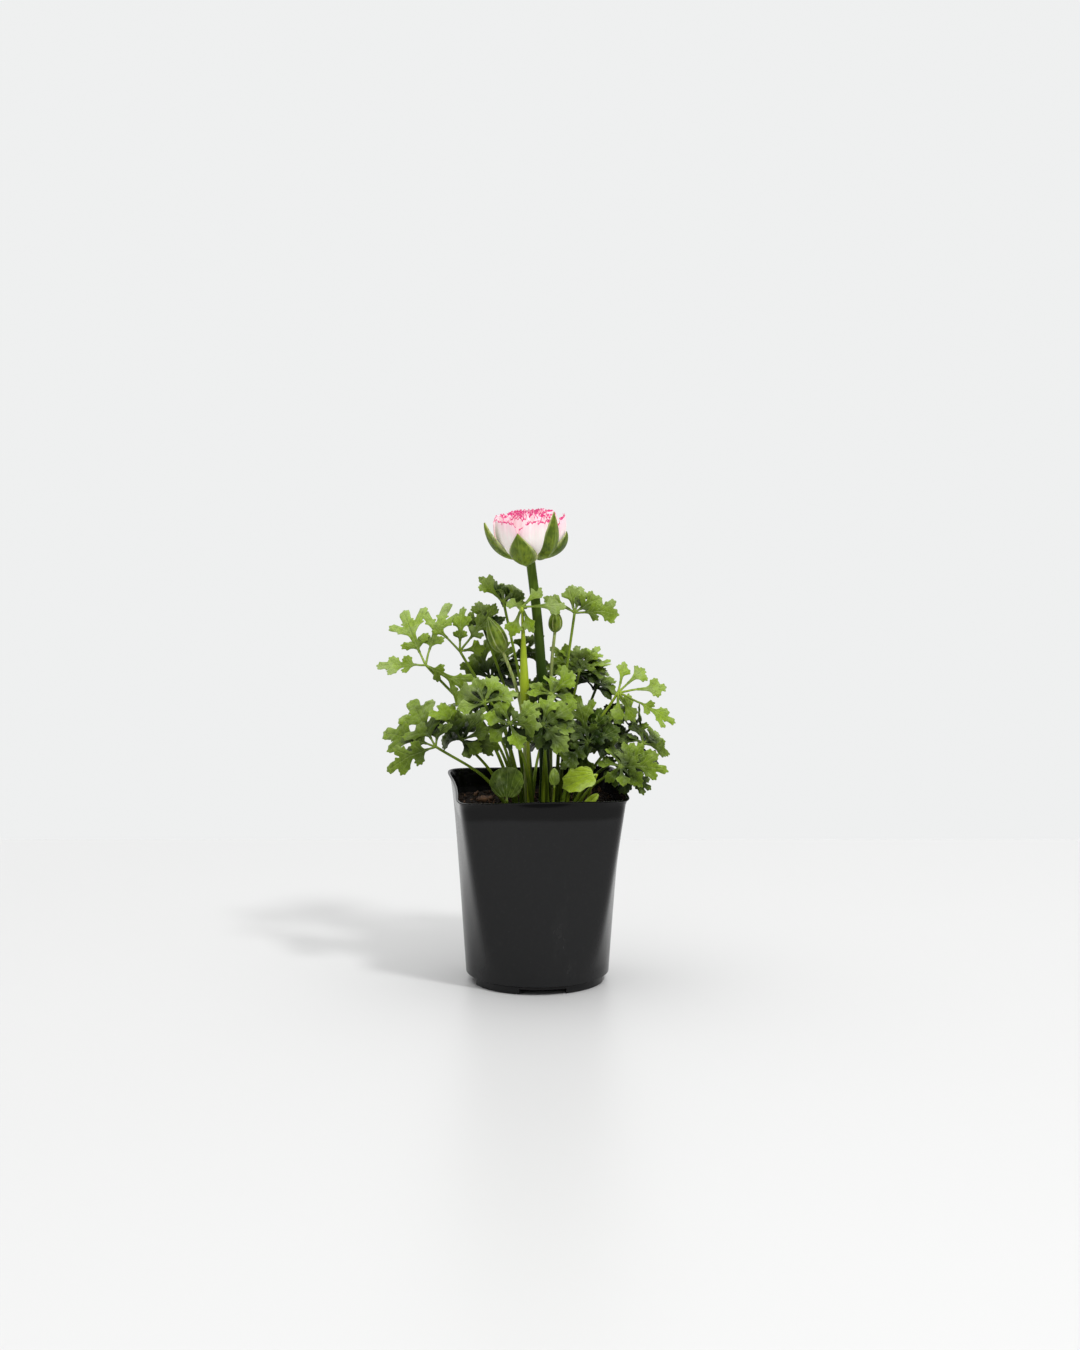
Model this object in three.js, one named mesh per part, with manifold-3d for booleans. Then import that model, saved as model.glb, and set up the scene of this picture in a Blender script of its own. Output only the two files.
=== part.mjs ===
// A potted ranunculus: a black nursery pot filled with potting mix, one open flower, two buds
// and the compound leaves around them. Millimetres, +Z up. The origin is the middle of the
// pot's base, on the surface that it stands on, and the pot's faces are square to X and Y.
import * as THREE from 'three';
import { mergeVertices } from 'three/addons/utils/BufferGeometryUtils.js';
import Module from 'manifold-3d';

const wasm = await Module();
wasm.setup();

// Pot
const potWidth = 100;              // across the flat sides at the rim
const potHeight = 119;
const potWall = 1.0;
const potBaseDiameter = 85.6;      // where the wall turns in to the foot
const potSquareness = 10.5;        // exponent of the rounded square at the rim
const roundHeight = 14;            // the pot is round up to here
const squaringPower = 0.75;        // below 1, the corners form sooner above that
const cornerFlare = 1.4;           // how far the corners of the rim lean out
const flareDepth = 4;              // and how far down that starts
const sideDip = 0.8;               // how far the rim's straight sides bow in
const footDiameter = 80.8;
const footWall = 1.6;
const footHeight = 4.6;
const floorHeight = 3.2;           // underside of the raised floor
const padDiameter = 24;            // flat pad in the middle that also stands on the ground
const potSides = 40;               // facets around the pot
const facetCrowding = 0.15;        // how far the facets crowd towards the corners, in radians
const rimLip = 0.4;                // how far the rim's top edge stands out
const slotWidth = 28;
const slotHeight = 3.2;
const drainLength = 7;
const drainWidth = 14;

// Potting mix
const wateringSpace = 14;          // from the rim down to the soil
const soilUnevenness = 0.8;
const seatClearance = 0.3;         // between pieces that touch
const rootingDepth = 6;            // how far stalks reach into the soil
const chipLength = 12;
const chipWidth = 6.6;
const chipUnderside = 0.87;        // its underside, as a share of its top
const chipTurn = 25;               // degrees
const chipThickness = 3.2;
const chipPlace = [-30, 20];

// Plant
const plantTurn = -4.9;            // degrees, how the plant is turned in its pot
const stemDiameter = 5.8;
const stemTop = [-4.2, 0, 256];    // where the flower sits
const petioleDiameter = 2.7;
const leafThickness = 0.9;
const leafletStalkWidth = 1.5;
const leafDroop = 22;              // degrees that a blade bends down by in 30 mm from its hub
const youngDroop = 10;
const shoulderShare = 0.45;        // where a leaflet is widest, between its stalk and its tip
const crowding = 0.42;             // the most of the room to the next leaflet that a lobe takes
const tubeSides = 6;

// Flower, in its own frame: its axis is Z and its origin is the top of the stem
const flowerLean = 3;              // degrees, to the left
const petalThickness = 0.8;
const sepalThickness = 1.0;
const receptacleRadius = 6.6;
const receptacleHeight = 5.6;

const soilTop = potHeight - wateringSpace;

// Colours
const potBlack = 0x1a1b1b;
const soilBrown = 0x241a13;
const barkBrown = 0x6d4a2e;
const leafGreen = 0x5f7f3a;
const stemGreen = 0x56652c;
const budGreen = 0x86a14c;
const sepalGreen = 0x7c9a45;
const petalPink = 0xeac6ce;

const degrees = THREE.MathUtils.degToRad;
const part = new THREE.Group();

// ---------------------------------------------------------------- helpers

function solid(geometry) {
  const bare = geometry.clone();
  bare.deleteAttribute('uv');
  bare.deleteAttribute('normal');
  const merged = mergeVertices(bare, 1e-4);
  return new wasm.Manifold(new wasm.Mesh({
    numProp: 3,
    vertProperties: new Float32Array(merged.attributes.position.array),
    triVerts: new Uint32Array(merged.index.array),
  }));
}

function geometryOf(body) {
  const mesh = body.getMesh();
  const geometry = new THREE.BufferGeometry();
  geometry.setAttribute('position', new THREE.Float32BufferAttribute(mesh.vertProperties, 3));
  geometry.setIndex(Array.from(mesh.triVerts));
  geometry.computeVertexNormals();
  return geometry;
}

function add(name, body, color, roughness = 0.6) {
  const material = new THREE.MeshStandardMaterial({ color, roughness, metalness: 0 });
  const mesh = new THREE.Mesh(geometryOf(body), material);
  mesh.name = name;
  part.add(mesh);
}

function union(bodies) {
  return bodies.reduce((whole, body) => whole.add(body));
}

// The largest of the bodies that a cut leaves.
function largest(body) {
  const pieces = body.decompose();
  return pieces.reduce((best, piece) => (piece.volume() > best.volume() ? piece : best));
}

function mapVertices(geometry, place) {
  const position = geometry.attributes.position;
  const point = new THREE.Vector3();
  for (let i = 0; i < position.count; i += 1) {
    point.fromBufferAttribute(position, i);
    place(point);
    position.setXYZ(i, point.x, point.y, point.z);
  }
  return geometry;
}

// A round stalk along a curve.
function tube(curve, radius, sides = tubeSides, steps = 7) {
  const section = new THREE.Shape();
  for (let i = 0; i < sides; i += 1) {
    const angle = (2 * Math.PI * i) / sides;
    section[i ? 'lineTo' : 'moveTo'](radius * Math.cos(angle), radius * Math.sin(angle));
  }
  section.closePath();
  return solid(new THREE.ExtrudeGeometry(section, { steps, extrudePath: curve }));
}

// A place in the plant, given in the plant's own directions above the soil, in the pot's frame.
function inPlant([x, y, z]) {
  return new THREE.Vector3(x, y, z + soilTop).applyAxisAngle(new THREE.Vector3(0, 0, 1), degrees(plantTurn));
}

// ---------------------------------------------------------------- pot and potting mix

// How far the wall stands out in direction angle at height z, as a share of its flat-side radius.
function squareFactor(angle, z) {
  const c = Math.abs(Math.cos(angle)) ** potSquareness;
  const s = Math.abs(Math.sin(angle)) ** potSquareness;
  const square = (c + s) ** (-1 / potSquareness);
  const blend = THREE.MathUtils.clamp((z - roundHeight) / (potHeight - roundHeight), 0, 1);
  return 1 + (square - 1) * blend ** squaringPower;
}

// Turns a round lathed body into the pot's rounded square, with its flared corners.
function squareUp(point) {
  const radius = Math.hypot(point.x, point.y);
  if (radius < 1e-6) return;
  const turned = Math.atan2(point.y, point.x);
  const angle = turned + facetCrowding * Math.sin(4 * turned);
  const corner = Math.sin(2 * angle) ** 2;
  const nearRim = THREE.MathUtils.smoothstep(point.z, potHeight - flareDepth, potHeight);
  const outer = radius > potBaseDiameter / 3 ? 1 : 0;
  const shift = outer * nearRim * (cornerFlare * corner ** 3 - sideDip * (1 - corner));
  const reach = radius * squareFactor(angle, point.z) + shift;
  point.x = reach * Math.cos(angle);
  point.y = reach * Math.sin(angle);
}

function turned(profile, segments) {
  const points = profile.map(([r, z]) => new THREE.Vector2(r, z));
  return new THREE.LatheGeometry(points, segments).rotateX(Math.PI / 2);
}

function wallRadius(z) {
  const share = (z - footHeight) / (potHeight - footHeight);
  return THREE.MathUtils.lerp(potBaseDiameter / 2, potWidth / 2, share);
}

// Heights where the wall has a ring of corners, above the foot and below the rim.
const wallLevels = [
  roundHeight, potHeight * 0.4, potHeight * 0.7, potHeight - flareDepth, potHeight - flareDepth / 2,
];

// With a positive grow, the shape that the potting mix has to keep clear of.
function buildPot(grow = 0) {
  const foot = footDiameter / 2;
  const pad = padDiameter / 2;
  const wall = potWall + grow;
  const outside = wallLevels.map((z) => [wallRadius(z), z]);
  const inside = wallLevels.map((z) => [wallRadius(z) - wall, z]).reverse();
  const profile = [
    [0, 0], [pad, 0], [pad, floorHeight], [foot - footWall, floorHeight], [foot - footWall, 0],
    [foot, 0], [foot, footHeight], [wallRadius(footHeight + 1), footHeight + 1],
    ...outside,
    [wallRadius(potHeight) + rimLip, potHeight], [wallRadius(potHeight) - wall, potHeight],
    ...inside,
    [wallRadius(footHeight) - wall - 1.5, floorHeight + wall],
    [pad - wall, floorHeight + wall], [pad - wall, wall], [0, wall],
  ];
  let pot = solid(mapVertices(turned(profile, potSides), squareUp));
  for (let side = 0; side < 4; side += 1) {
    const slot = new THREE.BoxGeometry(footWall * 6, slotWidth, slotHeight * 2);
    slot.translate(foot, 0, 0);
    const drain = new THREE.BoxGeometry(drainLength, drainWidth, floorHeight * 4);
    drain.translate(foot - footWall - drainLength / 2 - 1, 0, floorHeight);
    for (const cutter of [slot, drain]) {
      cutter.rotateZ((side * Math.PI) / 2);
      pot = pot.subtract(solid(cutter));
    }
  }
  return pot;
}

function soilHeight(x, y) {
  return soilTop + soilUnevenness * Math.sin(x * 0.21 + 1) * Math.cos(y * 0.17 - 0.6);
}

// With a positive lift, the shape that a piece lying on the soil has to keep clear of.
function buildPottingMix(lift = 0) {
  const bottom = floorHeight + potWall + seatClearance;
  const buried = wallLevels.filter((z) => z < soilTop).map((z) => [wallRadius(z) - potWall, z]);
  const profile = [
    [0, bottom], [wallRadius(footHeight) - potWall, bottom], ...buried,
    [wallRadius(soilTop) - potWall, soilTop],
    [potWidth * 0.32, soilTop], [potWidth * 0.16, soilTop], [0, soilTop],
  ];
  const ground = mapVertices(turned(profile, potSides), (point) => {
    const onTop = point.z > soilTop - 0.01;
    squareUp(point);
    if (onTop) point.z = soilHeight(point.x, point.y) + lift;
  });
  return largest(solid(ground).subtract(buildPot(seatClearance)));
}

function buildBarkChip() {
  const chip = new THREE.CylinderGeometry(chipLength / 2, (chipLength / 2) * chipUnderside, chipThickness, 9, 1);
  chip.rotateX(Math.PI / 2);
  chip.scale(1, chipWidth / chipLength, 1);
  chip.rotateZ(degrees(chipTurn));
  const [x, y] = chipPlace;
  chip.translate(x, y, soilHeight(x, y) + chipThickness / 2);
  return largest(solid(chip).subtract(buildPottingMix(seatClearance)));
}

// ---------------------------------------------------------------- flower

const flowerPlace = new THREE.Matrix4().makeRotationFromEuler(new THREE.Euler(0, -degrees(flowerLean), 0));
flowerPlace.setPosition(inPlant([stemTop[0], stemTop[1], stemTop[2] - soilTop]));

// A bent plate: its middle line follows the profile outward and up, and it wraps around the axis.
function wrappedPlate(profile, middle, halfSpan, thickness, widthAt, across, along) {
  const plate = new THREE.BoxGeometry(2, 1, 1, across, along, 1);
  mapVertices(plate, (point) => {
    const v = point.y + 0.5;
    const at = profile.getPoint(v);
    const slope = profile.getTangent(v);
    const r = at.x + slope.y * point.z * thickness;
    const z = at.y - slope.x * point.z * thickness;
    const angle = degrees(middle + halfSpan * point.x * widthAt(v));
    point.set(r * Math.cos(angle), r * Math.sin(angle), z);
  });
  return plate;
}

// A cup's side from its foot to its rim, bellied on the way.
function cup(footR, footZ, bellyR, bellyZ, rimR, rimZ, rise = 0.3) {
  return new THREE.CubicBezierCurve(
    new THREE.Vector2(footR, footZ), new THREE.Vector2(bellyR * 0.7, footZ + rise),
    new THREE.Vector2(bellyR + 1.5, bellyZ), new THREE.Vector2(rimR, rimZ),
  );
}

// Whorls from the outside in: number of petals, first direction, half span and profile. Each whorl
// is seated on its own ring of the receptacle.
const petalSeat = seatClearance + petalThickness / 2;
const seatRadius = (share) => receptacleRadius * share + petalSeat;
const seatHeight = (share) => receptacleHeight * share + petalSeat * share;
const petalWhorls = [
  { count: 5, start: 210, span: 33, profile: cup(seatRadius(1), seatHeight(0.25), 20.5, 8, 20.2, 24) },
  { count: 5, start: 246, span: 33, profile: cup(seatRadius(0.85), seatHeight(0.6), 17.3, 10, 15.8, 26) },
  { count: 4, start: 262, span: 41, profile: cup(seatRadius(0.6), seatHeight(0.84), 13.8, 11.5, 11.8, 27) },
  { count: 3, start: 300, span: 55, profile: cup(seatRadius(0.3), seatHeight(0.95), 10, 13, 7.8, 27) },
];

const petalWidth = (v) => 0.55 + 0.45 * Math.sin(Math.PI * Math.min(1, v * 0.8 + 0.1));

// Sepals: direction around the flower, half span and profile. They grow from under the receptacle.
const sepalFoot = receptacleRadius * 0.9 + seatClearance + sepalThickness / 2;
const sepals = [
  { turn: 186, span: 20, profile: cup(sepalFoot, -1.2, 24.5, 6.5, 26, 20.5, 0.8) },
  { turn: 243, span: 22, profile: cup(sepalFoot - 0.8, -1.9, 22.5, 2.5, 22, 17.4, -1.5) },
  { turn: 306, span: 17, profile: cup(sepalFoot, -1.2, 23.5, 6.5, 23, 28.4, 0.6) },
  { turn: 345, span: 18, profile: cup(sepalFoot, -1.2, 23, 5.5, 22.8, 14, 0.2) },
  { turn: 100, span: 23, profile: cup(sepalFoot, -1.2, 23, 7, 23, 19) },
];

const sepalWidth = (v) => 0.5 + 0.6 * Math.sin(Math.PI * v) - 0.35 * v;

function stemCurve(grow) {
  const places = [[4.6, 0, -rootingDepth - grow], [4.4, 0, 20], [2.6, 0, 80], [-0.4, 0, stemTop[2] - soilTop - 32]];
  const [x, y, z] = stemTop;
  return new THREE.CatmullRomCurve3([...places, [x, y, z - soilTop]].map(inPlant));
}

function buildStem(grow = 0) {
  const stalk = tube(stemCurve(grow), stemDiameter / 2 + grow, 8, 12);
  const r = receptacleRadius + grow;
  const h = receptacleHeight;
  const head = turned([
    [0, -6 - grow], [stemDiameter / 2, -5 - grow], [r * 0.8, -2.4], [r, 0.2], [r, 1.4],
    [r * 0.86, h * 0.6], [r * 0.5, h * 0.9 + grow], [0, h + grow],
  ], 12);
  head.applyMatrix4(flowerPlace);
  return stalk.add(solid(head));
}

// ---------------------------------------------------------------- buds

// Each bud: where its stalk leaves the soil, how the stalk runs, where the bud begins and its tip.
const buds = [
  { name: 'bud_1', foot: [-6, -7], way: [[-10, -7, 60], [-14, -6, 78]], base: [-21, -5, 98], tip: [-29.5, -5, 119], width: 10.5 },
  { name: 'bud_2', foot: [8, 6], way: [[8, 6, 50], [8.5, 6, 85]], base: [10.4, 6, 105], tip: [11, 6, 119], width: 8 },
];

function buildBud(bud, grow = 0) {
  const [x, y] = bud.foot;
  const curve = new THREE.CatmullRomCurve3([[x, y, -rootingDepth - grow], ...bud.way, bud.base].map(inPlant));
  const stalk = tube(curve, petioleDiameter / 2 + grow, tubeSides, 8);
  const base = inPlant(bud.base);
  const axis = inPlant(bud.tip).sub(base);
  const length = axis.length();
  const r = bud.width / 2 + grow;
  const body = turned([
    [0, -1.5 - grow], [r * 0.5, -1], [r * 0.95, length * 0.22], [r, length * 0.42],
    [r * 0.7, length * 0.7], [r * 0.25, length * 0.92], [0, length + grow],
  ], 8);
  body.applyQuaternion(new THREE.Quaternion().setFromUnitVectors(new THREE.Vector3(0, 0, 1), axis.normalize()));
  body.translate(base.x, base.y, base.z);
  return stalk.add(solid(body));
}

// ---------------------------------------------------------------- leaves

// Each leaf: foot is where its stalk leaves the soil and hub is where the stalk ends, both in the
// plant's directions from the middle of the soil. face is the way its upper side looks. Each
// leaflet is [turn clockwise from upright in the leaf's own plane, length, width, stalk share].
const leaves = [
  { name: 'leaf_far_left', foot: [-13, -3], hub: [-66, -8, 88], face: [-0.2, -0.8, 0.5],
    leaflets: [[-96, 24, 16, 0.25], [-32, 42, 24, 0.35], [3, 38, 17, 0.35], [112, 24, 12, 0.15]] },
  { name: 'leaf_low_left', foot: [-17, -17], hub: [-60, -24, 42], face: [-0.3, -0.7, 0.6],
    leaflets: [[-132, 29, 15, 0.2], [-88, 44, 22, 0.2], [-54, 41, 22, 0.2], [-22, 29, 18, 0.2]] },
  { name: 'leaf_left_stem', foot: [-9, 4], hub: [-46, 4, 94], face: [-0.2, -0.9, 0.3],
    leaflets: [[-45, 23, 10, 0.5], [-2, 27, 12, 0.25], [34, 30, 14, 0.35], [78, 16, 10, 0.2]] },
  { name: 'leaf_crown', foot: [-3, 5], hub: [-20, 2, 124], face: [0, -0.75, 0.65],
    leaflets: [[-50, 19, 12, 0.15], [-6, 19, 13, 0.15], [40, 18, 13, 0.15], [100, 13, 9, 0.2]] },
  { name: 'leaf_crown_low', foot: [-7, 10], hub: [-32, 10, 107], face: [-0.3, -0.8, 0.4],
    leaflets: [[-66, 14, 10, 0.15], [-22, 19, 12, 0.15], [24, 17, 11, 0.15]] },
  { name: 'leaf_front_of_stem', foot: [-5, -12], hub: [-9, -10, 123], face: [0, -0.9, 0.4],
    leaflets: [[-155, 19, 11, 0.2], [-70, 10, 8, 0.2], [44, 18, 11, 0.2], [82, 26, 13, 0.3], [160, 16, 9, 0.2]] },
  { name: 'leaf_top_right', foot: [11, 1], hub: [22, 0, 118], face: [0.2, -0.8, 0.5],
    leaflets: [[-46, 19, 11, 0.35], [10, 23, 12, 0.25], [60, 24, 16, 0.25], [99, 27, 13, 0.35]] },
  { name: 'leaf_back_right', foot: [13, 9], hub: [25, 14, 80], face: [0.1, -0.7, 0.7],
    leaflets: [[-84, 19, 14, 0.1], [-40, 22, 15, 0.1], [2, 22, 15, 0.1], [44, 23, 15, 0.1], [88, 20, 13, 0.1]] },
  { name: 'leaf_upper_right', foot: [17, 14], hub: [36, 24, 70], face: [0.4, -0.5, 0.7],
    leaflets: [[-30, 18, 13, 0.1], [20, 20, 14, 0.1], [70, 20, 13, 0.1], [115, 16, 11, 0.1]] },
  { name: 'leaf_right', foot: [17, -2], hub: [48, -5, 71], face: [0.2, -0.8, 0.5],
    leaflets: [[18, 21, 9, 0.3], [52, 28, 12, 0.35], [86, 30, 12, 0.4], [117, 39, 15, 0.4], [148, 20, 12, 0.3],
      [-172, 18, 12, 0.25]] },
  { name: 'leaf_low_right', foot: [22, -20], hub: [49, -24, 30], face: [0.1, -0.8, 0.6],
    leaflets: [[-130, 12, 10, 0.1], [-66, 15, 12, 0.1], [-12, 19, 14, 0.1], [32, 22, 14, 0.1], [66, 24, 14, 0.1],
      [98, 28, 14, 0.1], [134, 18, 12, 0.1], [172, 14, 11, 0.1]] },
  { name: 'leaf_right_edge', foot: [20, -8], hub: [63, -6, 40], face: [0.3, -0.6, 0.7],
    leaflets: [[-40, 17, 13, 0.15], [8, 21, 13, 0.15], [56, 25, 13, 0.15], [104, 19, 11, 0.15]] },
  { name: 'leaf_centre', foot: [-12, -12], hub: [-31, -38, 71], face: [-0.1, -0.85, 0.5],
    leaflets: [[-112, 17, 12, 0.15], [-66, 20, 14, 0.15], [-22, 19, 13, 0.15], [22, 20, 13, 0.15],
      [64, 21, 13, 0.15]] },
  { name: 'leaf_centre_front', foot: [-3, -18], hub: [-16, -43, 60], face: [0, -0.85, 0.5],
    leaflets: [[-132, 17, 12, 0.1], [-80, 17, 11, 0.1], [-28, 17, 12, 0.1], [52, 23, 13, 0.1],
      [98, 20, 12, 0.1], [158, 19, 13, 0.1]] },
  { name: 'leaf_centre_right', foot: [6, -16], hub: [3, -38, 58], face: [0.1, -0.85, 0.5],
    leaflets: [[-72, 13, 10, 0.1], [-26, 18, 12, 0.1], [16, 21, 13, 0.1], [58, 25, 14, 0.1], [98, 21, 13, 0.1],
      [142, 23, 14, 0.15], [-165, 14, 10, 0.1]] },
  { name: 'leaf_left_middle', foot: [-19, -7], hub: [-45, -18, 45], face: [-0.3, -0.8, 0.5],
    leaflets: [[-84, 18, 14, 0.1], [-38, 28, 19, 0.15], [8, 27, 18, 0.15], [70, 22, 14, 0.15], [112, 15, 11, 0.15]] },
  { name: 'leaf_back_left_upper', foot: [-13, 12], hub: [-28, 14, 76], face: [-0.1, -0.8, 0.5],
    leaflets: [[-70, 19, 14, 0.1], [-25, 27, 16, 0.1], [20, 28, 16, 0.1], [64, 21, 14, 0.1]] },
  { name: 'leaf_tall_right', foot: [14, -12], hub: [30, -12, 42], face: [0.1, -0.9, 0.3],
    leaflets: [[-88, 17, 11, 0.15], [-44, 22, 13, 0.15], [-2, 32, 16, 0.1], [40, 25, 14, 0.15], [86, 19, 13, 0.15]] },
  { name: 'leaf_middle', foot: [3, -8], hub: [8, -22, 73], face: [0.1, -0.7, 0.7],
    leaflets: [[-80, 16, 12, 0.1], [-34, 19, 13, 0.1], [10, 20, 13, 0.1], [56, 20, 13, 0.1], [102, 16, 12, 0.1]] },
  { name: 'leaf_back_left', foot: [-13, 20], hub: [-38, 38, 52], face: [-0.5, 0.7, 0.5],
    leaflets: [[-70, 19, 14, 0.1], [-24, 22, 15, 0.1], [24, 22, 15, 0.1], [70, 19, 13, 0.1]] },
  { name: 'leaf_back', foot: [2, 20], hub: [6, 45, 62], face: [0, 0.8, 0.6],
    leaflets: [[-86, 21, 14, 0.1], [-42, 23, 15, 0.1], [0, 23, 15, 0.1], [42, 23, 15, 0.1], [86, 21, 14, 0.1]] },
  { name: 'leaf_back_far_right', foot: [22, 17], hub: [40, 40, 42], face: [0.4, 0.7, 0.6],
    leaflets: [[-80, 19, 13, 0.1], [-36, 23, 15, 0.1], [8, 23, 15, 0.1], [52, 21, 14, 0.1], [96, 17, 12, 0.1]] },
  { name: 'leaf_back_low', foot: [-3, 27], hub: [4, 56, 34], face: [-0.1, 0.8, 0.6],
    leaflets: [[-72, 21, 14, 0.1], [-24, 23, 15, 0.1], [24, 21, 14, 0.1], [72, 19, 13, 0.1]] },
  { name: 'leaf_side_right', foot: [24, 5], hub: [60, 20, 48], face: [0.7, 0.1, 0.6],
    leaflets: [[-72, 19, 13, 0.1], [-28, 21, 14, 0.1], [14, 21, 14, 0.1], [60, 19, 13, 0.1]] },
  { name: 'leaf_centre_back', foot: [-7, 16], hub: [-10, 26, 88], face: [-0.2, 0.7, 0.7],
    leaflets: [[-84, 17, 12, 0.1], [-40, 20, 14, 0.1], [4, 20, 14, 0.1], [48, 20, 13, 0.1]] },
];

// Young leaves near the soil: one whole blade each, with rounded edges.
const youngLeaves = [
  { name: 'round_leaf', foot: [-17, -31], hub: [-18, -35, 12], face: [-0.1, -0.9, 0.3], blade: [0, 20, 20] },
  { name: 'fan_leaf', foot: [28, -28], hub: [35, -32, 27], face: [0.1, -0.7, 0.6], blade: [-96, 22, 19] },
  { name: 'shoot_front', foot: [9, -27], hub: [10, -29, 19], face: [0, -0.9, 0.3], blade: [0, 11, 7] },
  { name: 'shoot_right', foot: [22, -38], hub: [25, -40, 7], face: [0.2, -0.9, 0.4], blade: [52, 15, 5] },
];

// The outline of a compound leaf around its hub: each leaflet has two side lobes and a tip, and a
// notch near the hub parts it from the next one. Leaflets are given in the order of their turns.
function leafOutline(leaflets, grow) {
  const points = [];
  const at = (turn, radius) => {
    points.push(new THREE.Vector2(radius * Math.sin(turn), radius * Math.cos(turn)));
  };
  const spread = (reach, halfWidth, room) => Math.min(Math.atan(halfWidth / reach), room * crowding) + grow / reach;
  const sorted = [...leaflets].sort((one, other) => one[0] - other[0]);
  sorted.forEach(([turnDegrees, length, width, stalkShare], i) => {
    const turn = degrees(turnDegrees);
    const before = i ? sorted[i - 1][0] : sorted.at(-1)[0] - 360;
    const after = i + 1 < sorted.length ? sorted[i + 1][0] : sorted[0][0] + 360;
    const roomBefore = Math.min(degrees(turnDegrees - before), Math.PI / 2);
    const roomAfter = Math.min(degrees(after - turnDegrees), Math.PI / 2);
    const start = Math.max(length * stalkShare, 3);
    const shoulder = start + (length - start) * shoulderShare;
    const stalkHalf = leafletStalkWidth / 2;
    if (stalkShare > 0.2) at(turn - spread(start, stalkHalf, roomBefore), start);
    at(turn - spread(shoulder, width / 2, roomBefore), shoulder);
    at(turn, length + grow);
    at(turn + spread(shoulder, width / 2, roomAfter), shoulder);
    if (stalkShare > 0.2) at(turn + spread(start, stalkHalf, roomAfter), start);
    at(turn + Math.min(degrees(after - turnDegrees) / 2, Math.PI / 2), leafletStalkWidth + grow);
  });
  return new THREE.Shape(points.reverse());
}

// The outline of a young leaf: a round or long blade on a short stalk.
function youngOutline(length, width, grow) {
  const s = leafletStalkWidth / 2 + grow;
  const half = width / 2 + grow;
  const points = [new THREE.Vector2(-s, -1), new THREE.Vector2(s, -1)];
  const from = degrees(-62);
  const to = degrees(242);
  const corners = 8;
  for (let i = 0; i <= corners; i += 1) {
    const angle = THREE.MathUtils.lerp(from, to, i / corners);
    points.push(new THREE.Vector2(half * Math.cos(angle), length / 2 + (length / 2 + grow) * Math.sin(angle)));
  }
  return new THREE.Shape(points);
}

// The leaf's own directions: right, up and out of its upper side.
function leafFrame(face) {
  const out = new THREE.Vector3(...face).normalize();
  const up = new THREE.Vector3(0, 0, 1);
  up.addScaledVector(out, -up.dot(out)).normalize();
  const right = new THREE.Vector3().crossVectors(up, out);
  return { right, up, out };
}

// A flat outline made solid, drooped away from the hub and laid in the leaf's own plane.
function leafPlate(outline, leaf, turn, droop, grow) {
  const thickness = leafThickness + 2 * grow;
  const plate = new THREE.ExtrudeGeometry(outline, { depth: thickness, bevelEnabled: false, steps: 1 });
  plate.translate(0, 0, -thickness / 2);
  const { right, up, out } = leafFrame(leaf.face);
  const hub = new THREE.Vector3(...leaf.hub);
  const along = up.clone().multiplyScalar(Math.cos(degrees(turn))).addScaledVector(right, Math.sin(degrees(turn)));
  const across = new THREE.Vector3().crossVectors(along, out);
  const bend = degrees(droop) / 30;
  mapVertices(plate, (point) => {
    const fall = (bend * (point.x * point.x + point.y * point.y)) / 2;
    const place = hub.clone().addScaledVector(across, point.x).addScaledVector(along, point.y);
    place.addScaledVector(out, point.z - fall);
    point.copy(inPlant([place.x, place.y, place.z]));
  });
  return solid(plate);
}

// A leaf stalk rises from the soil and then arches out to the hub.
function petioleCurve({ foot, hub }, grow) {
  const [x, y] = foot;
  const out = 0.3;
  const places = [
    [x, y, -rootingDepth - grow], [x, y, 0],
    [x + (hub[0] - x) * out, y + (hub[1] - y) * out, hub[2] * 0.5], hub,
  ];
  return new THREE.CatmullRomCurve3(places.map(inPlant), false, 'centripetal');
}

const buildPetiole = (leaf, grow = 0) => tube(petioleCurve(leaf, grow), petioleDiameter / 2 + grow);

function buildBlades(leaf, grow = 0) {
  if (leaf.blade) {
    const [turn, length, width] = leaf.blade;
    return leafPlate(youngOutline(length, width, grow), leaf, turn, youngDroop, grow);
  }
  return leafPlate(leafOutline(leaf.leaflets, grow), leaf, 0, leafDroop, grow);
}

// ---------------------------------------------------------------- assembly

const allLeaves = [...leaves, ...youngLeaves];
const stalkClearances = [buildStem(seatClearance), ...buds.map((bud) => buildBud(bud, seatClearance))];

// Stalks first: each keeps clear of the stem, the buds and the stalks before it.
const stalks = [];
for (const leaf of allLeaves) {
  const stalk = largest(stalkClearances.reduce((body, other) => body.subtract(other), buildPetiole(leaf)));
  stalks.push(stalk);
  stalkClearances.push(buildPetiole(leaf, seatClearance));
}

// Then the blades: each gives way to every other stalk and to the blades before it.
const firstStalk = stalkClearances.length - allLeaves.length;
const bladeClearances = [];
allLeaves.forEach((leaf, i) => {
  let blades = buildBlades(leaf);
  stalkClearances.forEach((other, k) => {
    if (k !== firstStalk + i) blades = blades.subtract(other);
  });
  for (const other of bladeClearances) {
    blades = blades.subtract(other);
  }
  bladeClearances.push(buildBlades(leaf, seatClearance));
  add(leaf.name, largest(stalks[i].add(blades)), leafGreen, 0.55);
});

add('pot', buildPot(), potBlack, 0.35);

let mix = buildPottingMix();
for (const stalk of stalkClearances) {
  mix = mix.subtract(stalk);
}
add('potting_mix', mix, soilBrown, 0.95);
add('bark_chip', buildBarkChip(), barkBrown, 0.85);

add('flower_stem', buildStem(), stemGreen, 0.5);
buds.forEach((bud) => add(bud.name, buildBud(bud), budGreen, 0.5));

function buildPetal(whorl, i, grow = 0) {
  const middle = whorl.start + (360 / whorl.count) * i;
  const plate = wrappedPlate(whorl.profile, middle, whorl.span, petalThickness + 2 * grow, petalWidth, 3, 4);
  return solid(plate.applyMatrix4(flowerPlace));
}

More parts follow.
